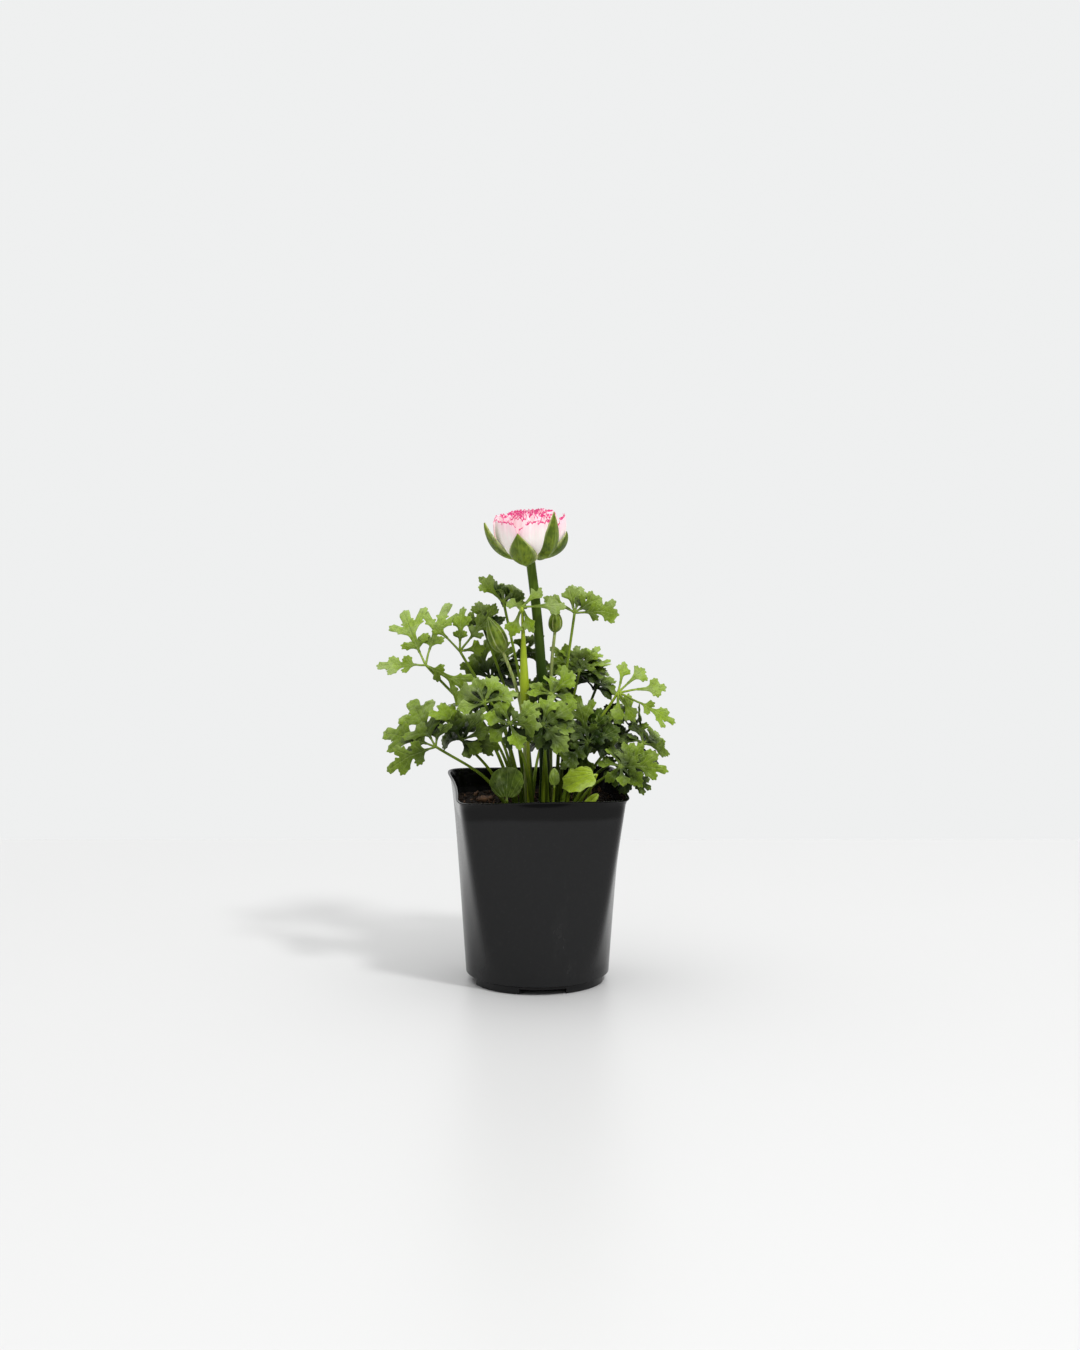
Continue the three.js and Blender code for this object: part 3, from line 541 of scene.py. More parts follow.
def paint_sepal(settings):
    """Sepals and buds: green with darker ribs, pale translucent margins and a downy sheen."""
    p = Paint("sepal_tissue")
    across, along = p.attribute("across"), p.attribute("along")
    ribs = p.noise(800, 3, 0.5, squash=(1, 1, 0.10))
    patch = p.noise(120, 3, 0.6)
    base = p.mix(patch.ramp(0.35, 0.7), settings.sepal_dark, settings.sepal_light)
    base = p.mix((across - along * 0.10 + ribs * 0.2).ramp(0.72, 1.02), base, settings.sepal_margin)
    base = p.mix((1 - along.ramp(0.0, 0.4)) * 0.55, base, settings.sepal_foot)
    base = p.mix(ribs.ramp(0.45, 0.7) * 0.65, base, settings.sepal_rib)
    base = p.mix((1 - across.ramp(0.0, 0.12)) * 0.4, base, settings.sepal_keel)
    return p.finish({"Base Color": base, "Roughness": 0.42 + patch * 0.14,
                     "Normal": p.bump(ribs, 0.6, 0.0006), "Specular IOR Level": 0.22,
                     "Subsurface Weight": 0.08, "Subsurface Scale": 0.0015, "Sheen Weight": 0.04})


def paint_petal(settings):
    """Cream petals that flush pink towards the rim, with a thin, uneven, deep pink edge, and a faint
    painted glow.
    """
    p = Paint("petal_tissue")
    rim, across, deep = p.attribute("rim"), p.attribute("across"), p.attribute("deep")
    streak = p.attribute("streak")
    ragged = p.noise(470, 3, 0.6)
    patch = p.noise(60, 2, 0.5)
    flush = (1 - rim.ramp(0.0, 0.45)) * 0.62 + deep * 0.25 + across ** 3 * 0.35 + (patch - 0.5) * 0.9 - 0.1
    base = p.mix(flush.ramp(0.15, 1.15), settings.body_colour, settings.flush_colour)
    base = p.mix(streak.ramp(0.6, 0.95) * 0.16 * (flush + 0.3).ramp(0.0, 0.6), base, settings.flush_colour)
    base = p.mix((1 - rim.ramp(0.0, 0.12)) * 0.35, base, settings.flush_colour)
    edge = (1 - rim.ramp(0.0, 0.06)) + (ragged - 0.5) * 2.2
    base = p.mix(edge.ramp(0.66, 0.82) * 0.98, base, settings.edge_colour)
    base = p.mix(rim.ramp(0.75, 1.0) * 0.30, base, settings.heel_colour)
    ribs = p.bump(streak, 0.22, 0.0004)
    return p.finish({"Base Color": base, "Roughness": 0.46 + ragged * 0.12, "Normal": ribs,
                     "Subsurface Weight": 0.15, "Subsurface Scale": 0.002,
                     "Subsurface Radius": (1.0, 0.75, 0.75),
                     # Painted light: the petals glow faintly in their own colour, which brightens their
                     # shaded sides
                     "Emission Color": base, "Emission Strength": 0.17,
                     "Sheen Weight": 0.08, "Specular IOR Level": 0.35})


def paint_floor(settings):
    """A pale, softly glossy table top."""
    p = Paint("pale_floor")
    drift = p.noise(3, 2, 0.4)
    base = p.mix(drift, settings.floor_colour, tuple(0.985 * c for c in settings.floor_colour))
    return p.finish({"Base Color": base, "Roughness": 0.36 + drift * 0.06, "Specular IOR Level": 0.5})


def paint_surroundings(stage):
    """A pale studio: even walls, a wide soft light overhead, and a darker room in front above eye level."""
    p = Paint("surroundings", "worlds", "ShaderNodeOutputWorld")
    way = p.node("ShaderNodeTexCoord", out="Generated")
    up = p.node("ShaderNodeSeparateXYZ", None, {0: way}, out="Z")
    front = p.node("ShaderNodeVectorMath", {"operation": "DOT_PRODUCT"},
                   {0: way, 1: (0.25, -0.97, 0.0)}, out="Value")
    walls = p.mix(front.ramp(-0.75, 0.35), stage.wall_colour, stage.room_colour)
    sky = p.mix(up.ramp(0.60, 0.95), walls, (stage.overhead,) * 3)
    light = p.node("ShaderNodeBackground", None, {"Color": sky, "Strength": 1.0})
    p.tree.links.new(light.socket, p.output.inputs["Surface"])
    return p.material


# ------------------------------------------------------------------ the pot and what fills it

def wall_radius(z, settings):
    """Outer radius of the pot's wall at a height, across its flat sides."""
    share = (z - FOOT_HEIGHT) / (POT_HEIGHT - FOOT_HEIGHT)
    return lerp(settings.base_diameter / MM / 2, settings.width / MM / 2, share)


def square_up(radius, turned, z, settings):
    """A ring of the pot: from round at the foot to a rounded square with flared corners."""
    turn = turned + FACET_CROWDING * np.sin(4 * turned)
    square = (np.abs(np.cos(turn)) ** SQUARENESS + np.abs(np.sin(turn)) ** SQUARENESS) ** (-1 / SQUARENESS)
    blend = min(max((z - ROUND_HEIGHT) / (POT_HEIGHT - ROUND_HEIGHT), 0), 1) ** SQUARING_POWER
    corner = np.sin(2 * turn) ** 2
    near_rim = float(smoothstep(np.array(z), POT_HEIGHT - FLARE_DEPTH, POT_HEIGHT))
    flare, dip = settings.corner_flare / MM, settings.side_dip / MM
    lean = min(radius / 25, 1.0) * near_rim * (flare * corner ** 3 - dip * (1 - corner))
    reach = radius * (1 + (square - 1) * blend) + lean
    return np.column_stack((reach * np.cos(turn), reach * np.sin(turn), np.full(len(turn), z)))


def lathe(profile, sides, settings):
    """A closed body from a profile of (radius, height) that starts and ends on the axis."""
    turned = np.arange(sides) * 2 * math.pi / sides
    verts = [np.array([[0, 0, profile[0][1]]])]
    verts += [square_up(r, turned, z, settings) for r, z in profile[1:-1]]
    verts.append(np.array([[0, 0, profile[-1][1]]]))
    return np.concatenate(verts), pole_faces(len(profile) - 2, sides)


WALL_LEVELS = (5.4, 6.2, 8, 11, 14, 22, 32, 44, 56, 68, 80, 92, 101, 108,
               110, 111.5, 113, 114.5, 116, 117.2, 118.2)
BOX_FACES = ((0, 2, 3, 1), (4, 5, 7, 6), (0, 1, 5, 4), (2, 6, 7, 3), (0, 4, 6, 2), (1, 3, 7, 5))


def pot_profile(settings):
    """Foot pad, raised floor, foot ring, outer wall, rounded rim, inner wall and inner floor."""
    wall = settings.wall / MM
    foot, pad, edge = settings.foot_diameter / MM / 2, PAD_RADIUS, 0.3
    outer = [(wall_radius(z, settings), z) for z in WALL_LEVELS]
    top, r_top = POT_HEIGHT, wall_radius(POT_HEIGHT, settings)
    rim = [(r_top + 0.25, top - 0.9), (r_top + 0.5, top - 0.45), (r_top + 0.35, top - 0.1),
           (r_top - 0.05, top), (r_top - wall * 0.7, top - 0.05), (r_top - wall * 1.05, top - 0.35)]
    inner = [(r - wall, z) for r, z in reversed(outer)]
    under, floor = FLOOR_HEIGHT, FLOOR_HEIGHT + wall
    start = [(0, 0), (4, 0), (8, 0), (pad - edge, 0), (pad, edge), (pad + 0.2, under),
             (20, under), (28, under), (34, under), (foot - FOOT_WALL, under), (foot - FOOT_WALL, edge),
             (foot - FOOT_WALL + edge, 0), (foot - edge, 0), (foot, edge), (foot, 2),
             (foot, FOOT_HEIGHT - 0.4), (foot + 0.5, FOOT_HEIGHT), (foot + 1.5, FOOT_HEIGHT + edge)]
    end = [(foot - 1, floor + 0.2), (34, floor), (24, floor), (pad, floor), (pad - wall, wall + 0.5),
           (pad - wall - 1, wall), (0, wall)]
    return start + outer + rim + inner[:-1] + end


def cut_slots(pot, settings):
    """Four drain slots through the foot ring, and a drain opening in the floor behind each."""
    foot = settings.foot_diameter / MM / 2
    slot = (foot - 3 * FOOT_WALL, foot + 3 * FOOT_WALL), SLOT_WIDTH / 2, SLOT_HEIGHT
    drain = DRAIN_REACH, DRAIN_WIDTH / 2, 3 * FLOOR_HEIGHT
    cutter = Shell()
    for side in range(4):
        turn = side * math.pi / 2
        for radii, half, top in (slot, drain):
            box = np.array([(r, y, z) for z in (-FLOOR_HEIGHT, top) for y in (-half, half) for r in radii])
            box = np.column_stack((*rotated(box[:, 0], box[:, 1], turn), box[:, 2]))
            cutter.add(box, BOX_FACES)
    tool = cutter.piece("slot_cutter", pot.data.materials[0])
    cut = pot.modifiers.new("slots", "BOOLEAN")
    cut.operation, cut.solver, cut.object = "DIFFERENCE", "EXACT", tool
    cut.use_self = True
    flatten_modifiers(pot)
    bpy.data.objects.remove(tool)


def flatten_modifiers(piece):
    """Turns the piece's evaluated shape into its plain mesh."""
    depsgraph = bpy.context.evaluated_depsgraph_get()
    mesh = bpy.data.meshes.new_from_object(piece.evaluated_get(depsgraph), depsgraph=depsgraph)
    piece.modifiers.clear()
    old, name = piece.data, piece.data.name
    piece.data = mesh
    bpy.data.meshes.remove(old)
    mesh.name = name
    if not len(mesh.polygons):
        raise RuntimeError(f"{piece.name}: nothing is left after its modifiers")


def build_pot(settings):
    shell = Shell()
    verts, faces = lathe(pot_profile(settings), POT_SIDES, settings)
    shell.add(verts, faces)
    pot = shell.piece("nursery_pot", paint_pot(settings))
    cut_slots(pot, settings)
    for polygon in pot.data.polygons:
        polygon.use_smooth = True
    pot.data.set_sharp_from_angle(angle=math.radians(42))
    finish_piece(pot, "pot", "pot")


def soil_height(x, y):
    """The soil's surface: slow swells and small lumps."""
    swell = 0.8 * math.sin(x * 0.21 + 1) * math.cos(y * 0.17 - 0.6)
    lumps = noise.noise(Vector((x * 0.22, y * 0.22, 4.0))) * 1.1
    lumps += noise.noise(Vector((x * 0.6, y * 0.6, 9.0))) * 0.7
    return SOIL_TOP + swell + lumps


def build_soil(pot, settings):
    """The potting mix fills the pot to the watering space."""
    gap = pot.wall / MM + SEAT_GAP
    top_r = wall_radius(SOIL_TOP, pot) - gap
    shares = np.linspace(0, 1, 46)[1:]
    profile = [(r, FOOT_HEIGHT) for r in (0, 30, 38.5)]
    profile += [(wall_radius(z, pot) - gap, z) for z in (14, 32, 56, 80, 98)]
    profile += [(top_r * share, SOIL_TOP) for share in reversed(shares)] + [(0, SOIL_TOP)]
    verts, faces = lathe(profile, SOIL_SIDES, pot)
    on_top = verts[:, 2] > SOIL_TOP - 0.01
    verts[on_top, 2] = [soil_height(x, y) for x, y in verts[on_top, :2]]
    shell = Shell()
    shell.add(verts, faces, shade=0.2)
    material = paint_soil("soil_mix", settings, 0.0)
    finish_piece(shell.piece("soil", material), "potting_mix", "potting_mix")


# ------------------------------------------------------------------ geometry nodes

class Tree:
    """Builds one geometry node tree with named inputs."""

    def __init__(self, name, inputs):
        self.group = bpy.data.node_groups.new(name, "GeometryNodeTree")
        face = self.group.interface
        face.new_socket("Geometry", in_out="INPUT", socket_type="NodeSocketGeometry")
        for label, kind in inputs:
            face.new_socket(label, in_out="INPUT", socket_type=kind)
        face.new_socket("Geometry", in_out="OUTPUT", socket_type="NodeSocketGeometry")
        self.start = self.group.nodes.new("NodeGroupInput")
        self.end = self.group.nodes.new("NodeGroupOutput")

    def take(self, label):
        return self.start.outputs[label]

    def node(self, kind, settings=None, sockets=None, out=0):
        node = self.group.nodes.new(kind)
        for key, value in (settings or {}).items():
            setattr(node, key, value)
        for key, value in (sockets or {}).items():
            if isinstance(value, bpy.types.NodeSocket):
                self.group.links.new(value, node.inputs[key])
            else:
                node.inputs[key].default_value = value
        return node.outputs[out]

    def math(self, operation, a, b=0.0):
        return self.node("ShaderNodeMath", {"operation": operation}, {0: a, 1: b})

    def close(self, geometry):
        """Ends the tree: instances made real, then the material."""
        real = self.node("GeometryNodeRealizeInstances", None, {"Geometry": geometry})
        painted = self.node("GeometryNodeSetMaterial", None,
                            {"Geometry": real, "Material": self.take("Material")})
        self.group.links.new(painted, self.end.inputs["Geometry"])

    def run(self, piece, values):
        """Runs the tree on the piece and leaves a plain mesh."""
        modifier = piece.modifiers.new(self.group.name, "NODES")
        modifier.node_group = self.group
        sockets = self.group.interface.items_tree
        names = {item.name: item.identifier for item in sockets if item.in_out == "INPUT"}
        for label, value in values.items():
            modifier[names[label]] = value
        flatten_modifiers(piece)


def scatter_tree():
    """Copies of one shape scattered over the faces that look up."""
    tree = Tree("scatter on soil", (
        ("Shape", "NodeSocketObject"), ("Density", "NodeSocketFloat"), ("Smallest", "NodeSocketFloat"),
        ("Largest", "NodeSocketFloat"), ("Seed", "NodeSocketInt"), ("Material", "NodeSocketMaterial")))
    up = tree.node("ShaderNodeSeparateXYZ", None, {0: tree.node("GeometryNodeInputNormal")}, out="Z")
    flat = tree.node("FunctionNodeCompare", {"data_type": "FLOAT", "operation": "GREATER_THAN"},
                     {0: up, 1: 0.5})
    points = tree.node("GeometryNodeDistributePointsOnFaces", None, {
        "Mesh": tree.take("Geometry"), "Selection": flat, "Density": tree.take("Density"),
        "Seed": tree.take("Seed")})
    spin = tree.node("FunctionNodeRandomValue", {"data_type": "FLOAT_VECTOR"}, {
        0: (0.0, 0.0, 0.0), 1: (6.28, 6.28, 6.28), "Seed": tree.take("Seed")})
    size = tree.node("FunctionNodeRandomValue", {"data_type": "FLOAT"}, {
        2: tree.take("Smallest"), 3: tree.take("Largest"), "Seed": tree.take("Seed")}, out=1)
    shape = tree.node("GeometryNodeObjectInfo", None, {"Object": tree.take("Shape")}, out="Geometry")
    copies = tree.node("GeometryNodeInstanceOnPoints", None, {
        "Points": points, "Instance": shape, "Rotation": spin, "Scale": size})
    shade = tree.node("FunctionNodeRandomValue", {"data_type": "FLOAT"}, {2: 0.0, 3: 1.0, "Seed": 7}, out=1)
    kept = tree.node("GeometryNodeStoreNamedAttribute", {"data_type": "FLOAT", "domain": "INSTANCE"}, {
        "Geometry": copies, "Name": "shade", "Value": shade})
    tree.close(kept)
    return tree


def crumb_shape(rng, name, stretch):
    """One small lump of soil or bark, rough and closed, about one millimetre across."""
    rings, sides = 4, 6
    profile = [math.pi * i / rings for i in range(1, rings)]
    verts = [(0, 0, -0.5)]
    for lean in profile:
        for k in range(sides):
            turn = 2 * math.pi * k / sides
            r = math.sin(lean) * 0.5 * rng.uniform(0.75, 1.2)
            verts.append((r * math.cos(turn) * stretch, r * math.sin(turn), -math.cos(lean) * 0.5))
    verts.append((0, 0, 0.5))
    mesh = bpy.data.meshes.new(name)
    mesh.from_pydata([tuple(c * MM for c in v) for v in verts], [], pole_faces(rings - 1, sides))
    shape = bpy.data.objects.new(name, mesh)
    bpy.context.scene.collection.objects.link(shape)
    return shape


def soil_patch(pot):
    """The soil's surface alone, as the ground for scattered crumbs."""
    sides, rings = 60, 14
    reach = wall_radius(SOIL_TOP, pot) - pot.wall / MM - 1.6
    turned = np.arange(sides) * 2 * math.pi / sides
    verts = [(0.0, 0.0, soil_height(0, 0))]
    for i in range(1, rings + 1):
        ring = square_up(reach * i / rings, turned, SOIL_TOP, pot)
        verts += [(x, y, soil_height(x, y)) for x, y, _ in ring]
    faces = []
    for k in range(sides):
        after = (k + 1) % sides
        faces.append((0, 1 + k, 1 + after))
        for i in range(rings - 1):
            a, b = 1 + i * sides + k, 1 + i * sides + after
            faces.append((a, a + sides, b + sides, b))
    shell = Shell()
    shell.add(verts, faces)
    return shell


def build_crumbs(pot, settings):
    """Loose crumbs and bits of bark on the soil."""
    rng = random.Random(5)
    tree = scatter_tree()
    crumbs, mix = settings.crumb_density, paint_soil("crumb_mix", settings, 0.1)
    kinds = (
        # name, shape, stretch, density, smallest, largest, seed, material, slot
        ("soil_crumbs", "crumb", 1.0, crumbs, 0.7, 2.4, 3, mix, "potting_mix"),
        ("bark_bits", "bit", 2.6, crumbs * 0.12, 1.0, 2.6, 11, paint_bark(settings), "bark"),
    )
    for name, shape_name, stretch, density, small, large, seed, material, slot in kinds:
        shape = crumb_shape(rng, shape_name, stretch)
        piece = soil_patch(pot).piece(name, material)
        tree.run(piece, {"Shape": shape, "Density": density, "Smallest": small, "Largest": large,
                         "Seed": seed, "Material": material})
        bpy.data.objects.remove(shape)
        finish_piece(piece, slot)


CHIP_HALF_LENGTH, CHIP_HALF_WIDTH, CHIP_TURN = 6.0, 3.2, 25


def build_chip():
    """The chip of bark: a splintered flat piece."""
    low, high = (np.array(c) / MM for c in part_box("bark_chip"))
    centre, half = (low + high) / 2, (high - low) / 2
    rng = random.Random(2)
    sides, verts = 22, []
    # each layer's size and level, as shares
    layers = ((0.86, -1.0), (1.0, -0.6), (0.98, 0.25), (0.90, 0.75), (0.72, 1.0), (0.35, 0.85))
    wobble = [rng.uniform(0.86, 1.08) for _ in range(sides)]
    for scale, level in layers:
        for k in range(sides):
            a = 2 * math.pi * k / sides
            r = scale * wobble[k] * rng.uniform(0.96, 1.03)
            x, y = CHIP_HALF_LENGTH * r * math.cos(a), CHIP_HALF_WIDTH * r * math.sin(a)
            splinter = 0.35 * math.sin(3 * x) * (level > 0)
            x, y = rotated(x, y, math.radians(CHIP_TURN))
            verts.append((centre[0] + x, centre[1] + y, centre[2] + half[2] * level + splinter))
    shell = Shell()
    shell.add(verts, ring_faces(len(layers), sides))
    finish_piece(shell.piece("bark_flake", bpy.data.materials["bark_fibres"]), "bark", "bark_chip")


# ------------------------------------------------------------------ leaves

GRID = 0.42          # spacing of the blade's mesh
FILLET = 0.34        # how softly lobes run together
SHEATHED_LEAF = "leaf_front_of_stem"
SHEATH = 2.3         # how much its pale sheath thickens its stalk


def leaflet_strokes(leaflet, rng):
    """A leaflet as tapered strokes: its stalk, a wedge-shaped body, and lobes with blunt teeth."""
    turn, length, width, share = leaflet
    along, across = blade_axes(turn + rng.uniform(-3, 3))
    curve = rng.uniform(-0.10, 0.10) * length
    start = max(length * share, 2.0)
    blade = length - start

    def at(v, u=0.0):
        return along * v + across * (u + curve * (v / length) ** 2)

    def aim(degrees):
        t = math.radians(degrees)
        return along * math.cos(t) + across * math.sin(t)

    strokes = [(at(0), at(start), 0.62, 0.6, 0)]
    middle = start + blade * 0.5
    strokes.append((at(start), at(middle), 0.65, 0.11 * width + 0.4, 0))
    lobes = [(start + blade * 0.40, 0, blade * 0.60, 0.12)]
    lobes += [(start + blade * 0.36, side * 37, blade * 0.50, 0.105) for side in (-1, 1)]
    if blade > 19:
        lobes += [(start + blade * 0.10, side * 56, width * 0.50, 0.095) for side in (-1, 1)]
    for root, lean, reach, share_wide in lobes:
        lean += rng.uniform(-6, 6)
        reach *= rng.uniform(0.86, 1.08)
        broad = (share_wide * width + 0.45) * rng.uniform(0.88, 1.12)
        base, heading = at(root), aim(lean)
        wide = base + heading * max(reach - broad - 1.6, reach * 0.4)
        strokes.append((base, wide, broad * 0.62, broad, 1))
        for fork in (0, -46, 46):
            fork += rng.uniform(-9, 9)
            long = broad * 0.75 + rng.uniform(0.5, 1.2) + (0.5 if abs(fork) < 20 else 0)
            strokes.append((wide, wide + aim(lean + fork) * long, broad * 0.62, 0.66, 2))
        if reach > 8:
            knee = base + heading * reach * 0.36
            for fork in (-58, 58):
                tip = knee + aim(lean + fork) * (broad + rng.uniform(0.5, 1.1))
                strokes.append((knee, tip, broad * 0.6, 0.7, 3))
    return strokes


VEIN_WIDTH = (0.36, 0.26, 0.18, 0.14)


def stroke_fields(strokes):
    """Distance field of the blade's outline, and how much each point is on a vein."""
    ends = np.array([s[0] for s in strokes] + [s[1] for s in strokes])
    low, high = ends.min(0) - 3.5, ends.max(0) + 3.5
    x = np.arange(low[0], high[0], GRID)
    y = np.arange(low[1], high[1], GRID)
    total = np.zeros((len(x), len(y)))
    vein = np.zeros_like(total)
    for a, b, ra, rb, order in strokes:
        reach = max(ra, rb) + 3.2
        i0, i1 = np.searchsorted(x, (min(a[0], b[0]) - reach, max(a[0], b[0]) + reach))
        j0, j1 = np.searchsorted(y, (min(a[1], b[1]) - reach, max(a[1], b[1]) + reach))
        px, py = x[i0:i1, None] - a[0], y[None, j0:j1] - a[1]
        ab = b - a
        t = np.clip((px * ab[0] + py * ab[1]) / (ab @ ab), 0, 1)
        far = np.hypot(px - t * ab[0], py - t * ab[1])
        total[i0:i1, j0:j1] += np.exp(-(far - lerp(ra, rb, t)) / FILLET)
        ridge = np.exp(-(far / VEIN_WIDTH[order]) ** 2) * (1 - 0.5 * t * (order > 1)) * (1 - 0.15 * order)
        vein[i0:i1, j0:j1] = np.maximum(vein[i0:i1, j0:j1], ridge)
    field = -FILLET * np.log(np.maximum(total, 1e-12))
    return x, y, field, vein


def trace_blade(field):
    """The part of the grid where the field is negative, cut off cleanly along its edge.
    Returns points as grid places (i, j) and faces."""
    inside = field < 0
    number = -np.ones(field.shape, int)
    ii, jj = np.nonzero(inside)
    number[ii, jj] = np.arange(len(ii))
    points = [np.column_stack((ii, jj)).astype(float)]
    corners = (inside[:-1, :-1], inside[1:, :-1], inside[1:, 1:], inside[:-1, 1:])
    filled = sum(c.astype(int) for c in corners)
    fi, fj = np.nonzero(filled == 4)
    whole = (number[fi, fj], number[fi + 1, fj], number[fi + 1, fj + 1], number[fi, fj + 1])
    faces = np.column_stack(whole).tolist()
    crossings, extra = {}, []
    base = len(ii)
    around = ((0, 0), (1, 0), (1, 1), (0, 1))
    for i, j in zip(*np.nonzero((filled > 0) & (filled < 4))):
        loop = []
        for k in range(4):
            p = (i + around[k][0], j + around[k][1])
            q = (i + around[(k + 1) % 4][0], j + around[(k + 1) % 4][1])
            if inside[p]:
                loop.append(number[p])
            if inside[p] != inside[q]:
                key = (p, q) if p < q else (q, p)
                if key not in crossings:
                    t = float(np.clip(field[key[0]] / (field[key[0]] - field[key[1]]), 0.1, 0.9))
                    crossings[key] = base + len(extra)
                    extra.append((lerp(key[0][0], key[1][0], t), lerp(key[0][1], key[1][1], t)))
                loop.append(crossings[key])
        faces.append(loop)
    if extra:
        points.append(np.array(extra))
    return np.concatenate(points), faces


def bilinear(grid, places):
    """Values of the grid at places between its points."""
    i = np.clip(places[:, 0].astype(int), 0, grid.shape[0] - 2)
    j = np.clip(places[:, 1].astype(int), 0, grid.shape[1] - 2)
    s, t = places[:, 0] - i, places[:, 1] - j
    near = grid[i, j] * (1 - s) + grid[i + 1, j] * s
    far = grid[i, j + 1] * (1 - s) + grid[i + 1, j + 1] * s
    return near * (1 - t) + far * t


def double_sided(flat, faces, place):
    """Gives flat faces two sides. place(points, side) returns their places in the plant."""
    n = len(flat)
    verts = np.concatenate((place(flat, 1.0), place(flat, -1.0)))
    edges = set()
    for face in faces:
        edges.update(zip(face, face[1:] + face[:1]))
    both = [tuple(face) for face in faces] + [tuple(i + n for i in reversed(face)) for face in faces]
    both += [(a + n, b + n, b, a) for a, b in edges if (b, a) not in edges]
    return verts, both


class Bend:
    """How a flat leaflet hangs in space: drooped, pitched, rolled, folded and softly waved."""

    def __init__(self, hub, face, turn, rng, liveliness=1.0):
        self.hub, self.turn, self.seed = np.array(hub, float), math.radians(turn), rng.uniform(0, 6)
        self.right, self.up, self.out = leaf_axes(face)
        self.pitch = math.tan(math.radians(rng.uniform(-34, 22))) * liveliness
        self.roll = math.tan(math.radians(rng.uniform(-38, 38))) * liveliness
        self.fold = rng.uniform(0.08, 0.50) * liveliness
        self.liveliness = liveliness

    def height(self, x, y):
        r = np.hypot(x, y)
        s = x * math.sin(self.turn) + y * math.cos(self.turn)
        c = x * math.cos(self.turn) - y * math.sin(self.turn)
        tilt = c * self.roll + np.sqrt(c * c + 1) * self.fold
        lift = np.maximum(s - 2.5, 0) * self.pitch + tilt * np.clip(s / 8, 0, 1)
        wave = 0.75 * np.sin(x * 0.42 + self.seed) * np.cos(y * 0.38 + self.seed * 1.7)
        wave += 0.32 * np.sin(x * 1.15 + self.seed * 2) * np.sin(y * 1.05 - self.seed)
        return -LEAF_DROOP * r * r / 2 + lift + wave * self.liveliness * np.clip(r / 6, 0, 1)

    def place(self, flat, lift):
        x, y = flat[:, 0], flat[:, 1]
        h = self.height(x, y)
        e = 0.05
        slope_x = (self.height(x + e, y) - h) / e
        slope_y = (self.height(x, y + e) - h) / e
        normal = np.column_stack((-slope_x, -slope_y, np.ones(len(x))))
        normal /= np.linalg.norm(normal, axis=1)[:, None]
        local = np.column_stack((x, y, h)) + normal * np.broadcast_to(lift, (len(x),))[:, None]
        right, up, out = (local[:, k, None] for k in range(3))
        return in_plant(self.hub + right * self.right + up * self.up + out * self.out)


def sky_ways():
    """Ways to the sky as (x, y, z, weight): straight up, and two rings around that."""
    ways = [(0, 0, 1, 1.6)]
    for level, rise, weight, count in ((0.64, 0.77, 1.0, 6), (0.97, 0.26, 0.5, 8)):
        for k in range(count):
            a = 2 * math.pi * k / count
            ways.append((math.sin(a) * level, math.cos(a) * level, rise, weight))
    return ways


class Canopy:
    """How open each place in the plant is to the light, from how much leaf lies between it and the sky."""

    CELL, STEPS = 4.0, 12
    DENSITY = 0.5          # how much of the light a leaf in the way takes

    def __init__(self, clouds):
        points = np.concatenate(clouds)
        self.low = points.min(0) - 8
        shape = np.ceil((points.max(0) + 8 - self.low) / self.CELL).astype(int) + 1
        cells = ((points - self.low) / self.CELL + 0.5).astype(int)
        leaf = np.zeros(shape)
        np.add.at(leaf, tuple(cells.T), GRID ** 2 / 2 / self.CELL ** 3)
        self.open = np.zeros(shape)
        whole = np.stack(np.meshgrid(*(np.arange(n) for n in shape), indexing="ij"), -1)
        ways = sky_ways()
        for x, y, z, weight in ways:
            depth = np.zeros(shape)
            for step in range(1, self.STEPS + 1):
                at = np.rint(whole + np.array((x, y, z)) * step).astype(int)
                inside = ((at >= 0) & (at < shape)).all(-1)
                at = np.clip(at, 0, shape - 1)
                depth += leaf[at[..., 0], at[..., 1], at[..., 2]] * inside
            self.open += weight * np.exp(-self.DENSITY * self.CELL * depth)
        self.open /= sum(way[3] for way in ways)

    def at(self, points):
        """How open the points are, between the middles of the cells."""
        places = np.clip((points - self.low) / self.CELL, 0, np.array(self.open.shape) - 1.001)
        cell = places.astype(int)
        share = places - cell
        total = np.zeros(len(points))
        for corner in np.ndindex(2, 2, 2):
            weight = np.prod(np.where(corner, share, 1 - share), axis=1)
            total += weight * self.open[tuple((cell + corner).T)]
        return total


def petiole(foot, hub, root_radius, tip_radius, sheath=0.0):
    """A leaf stalk: it rises from the soil, wide at its sheath, and arches out to the hub."""
    x, y = foot
    middle = (x + (hub[0] - x) * 0.3, y + (hub[1] - y) * 0.3, hub[2] * 0.5)
    path = smooth_path(((x, y, -ROOTING_DEPTH), (x, y, 0), middle, hub), 44)
    t = np.linspace(0, 1, len(path))
    radii = lerp(root_radius, tip_radius, smoothstep(t, 0.0, 0.85))
    if sheath:
        bulge = smoothstep(t, 0.60, 0.68) * (1 - smoothstep(t, 0.70, 1.0))
        radii = radii + sheath * bulge
        path[:, 0] -= 1.2 * bulge
    return tube(in_plant(path), radii, 12, groove=0.22)


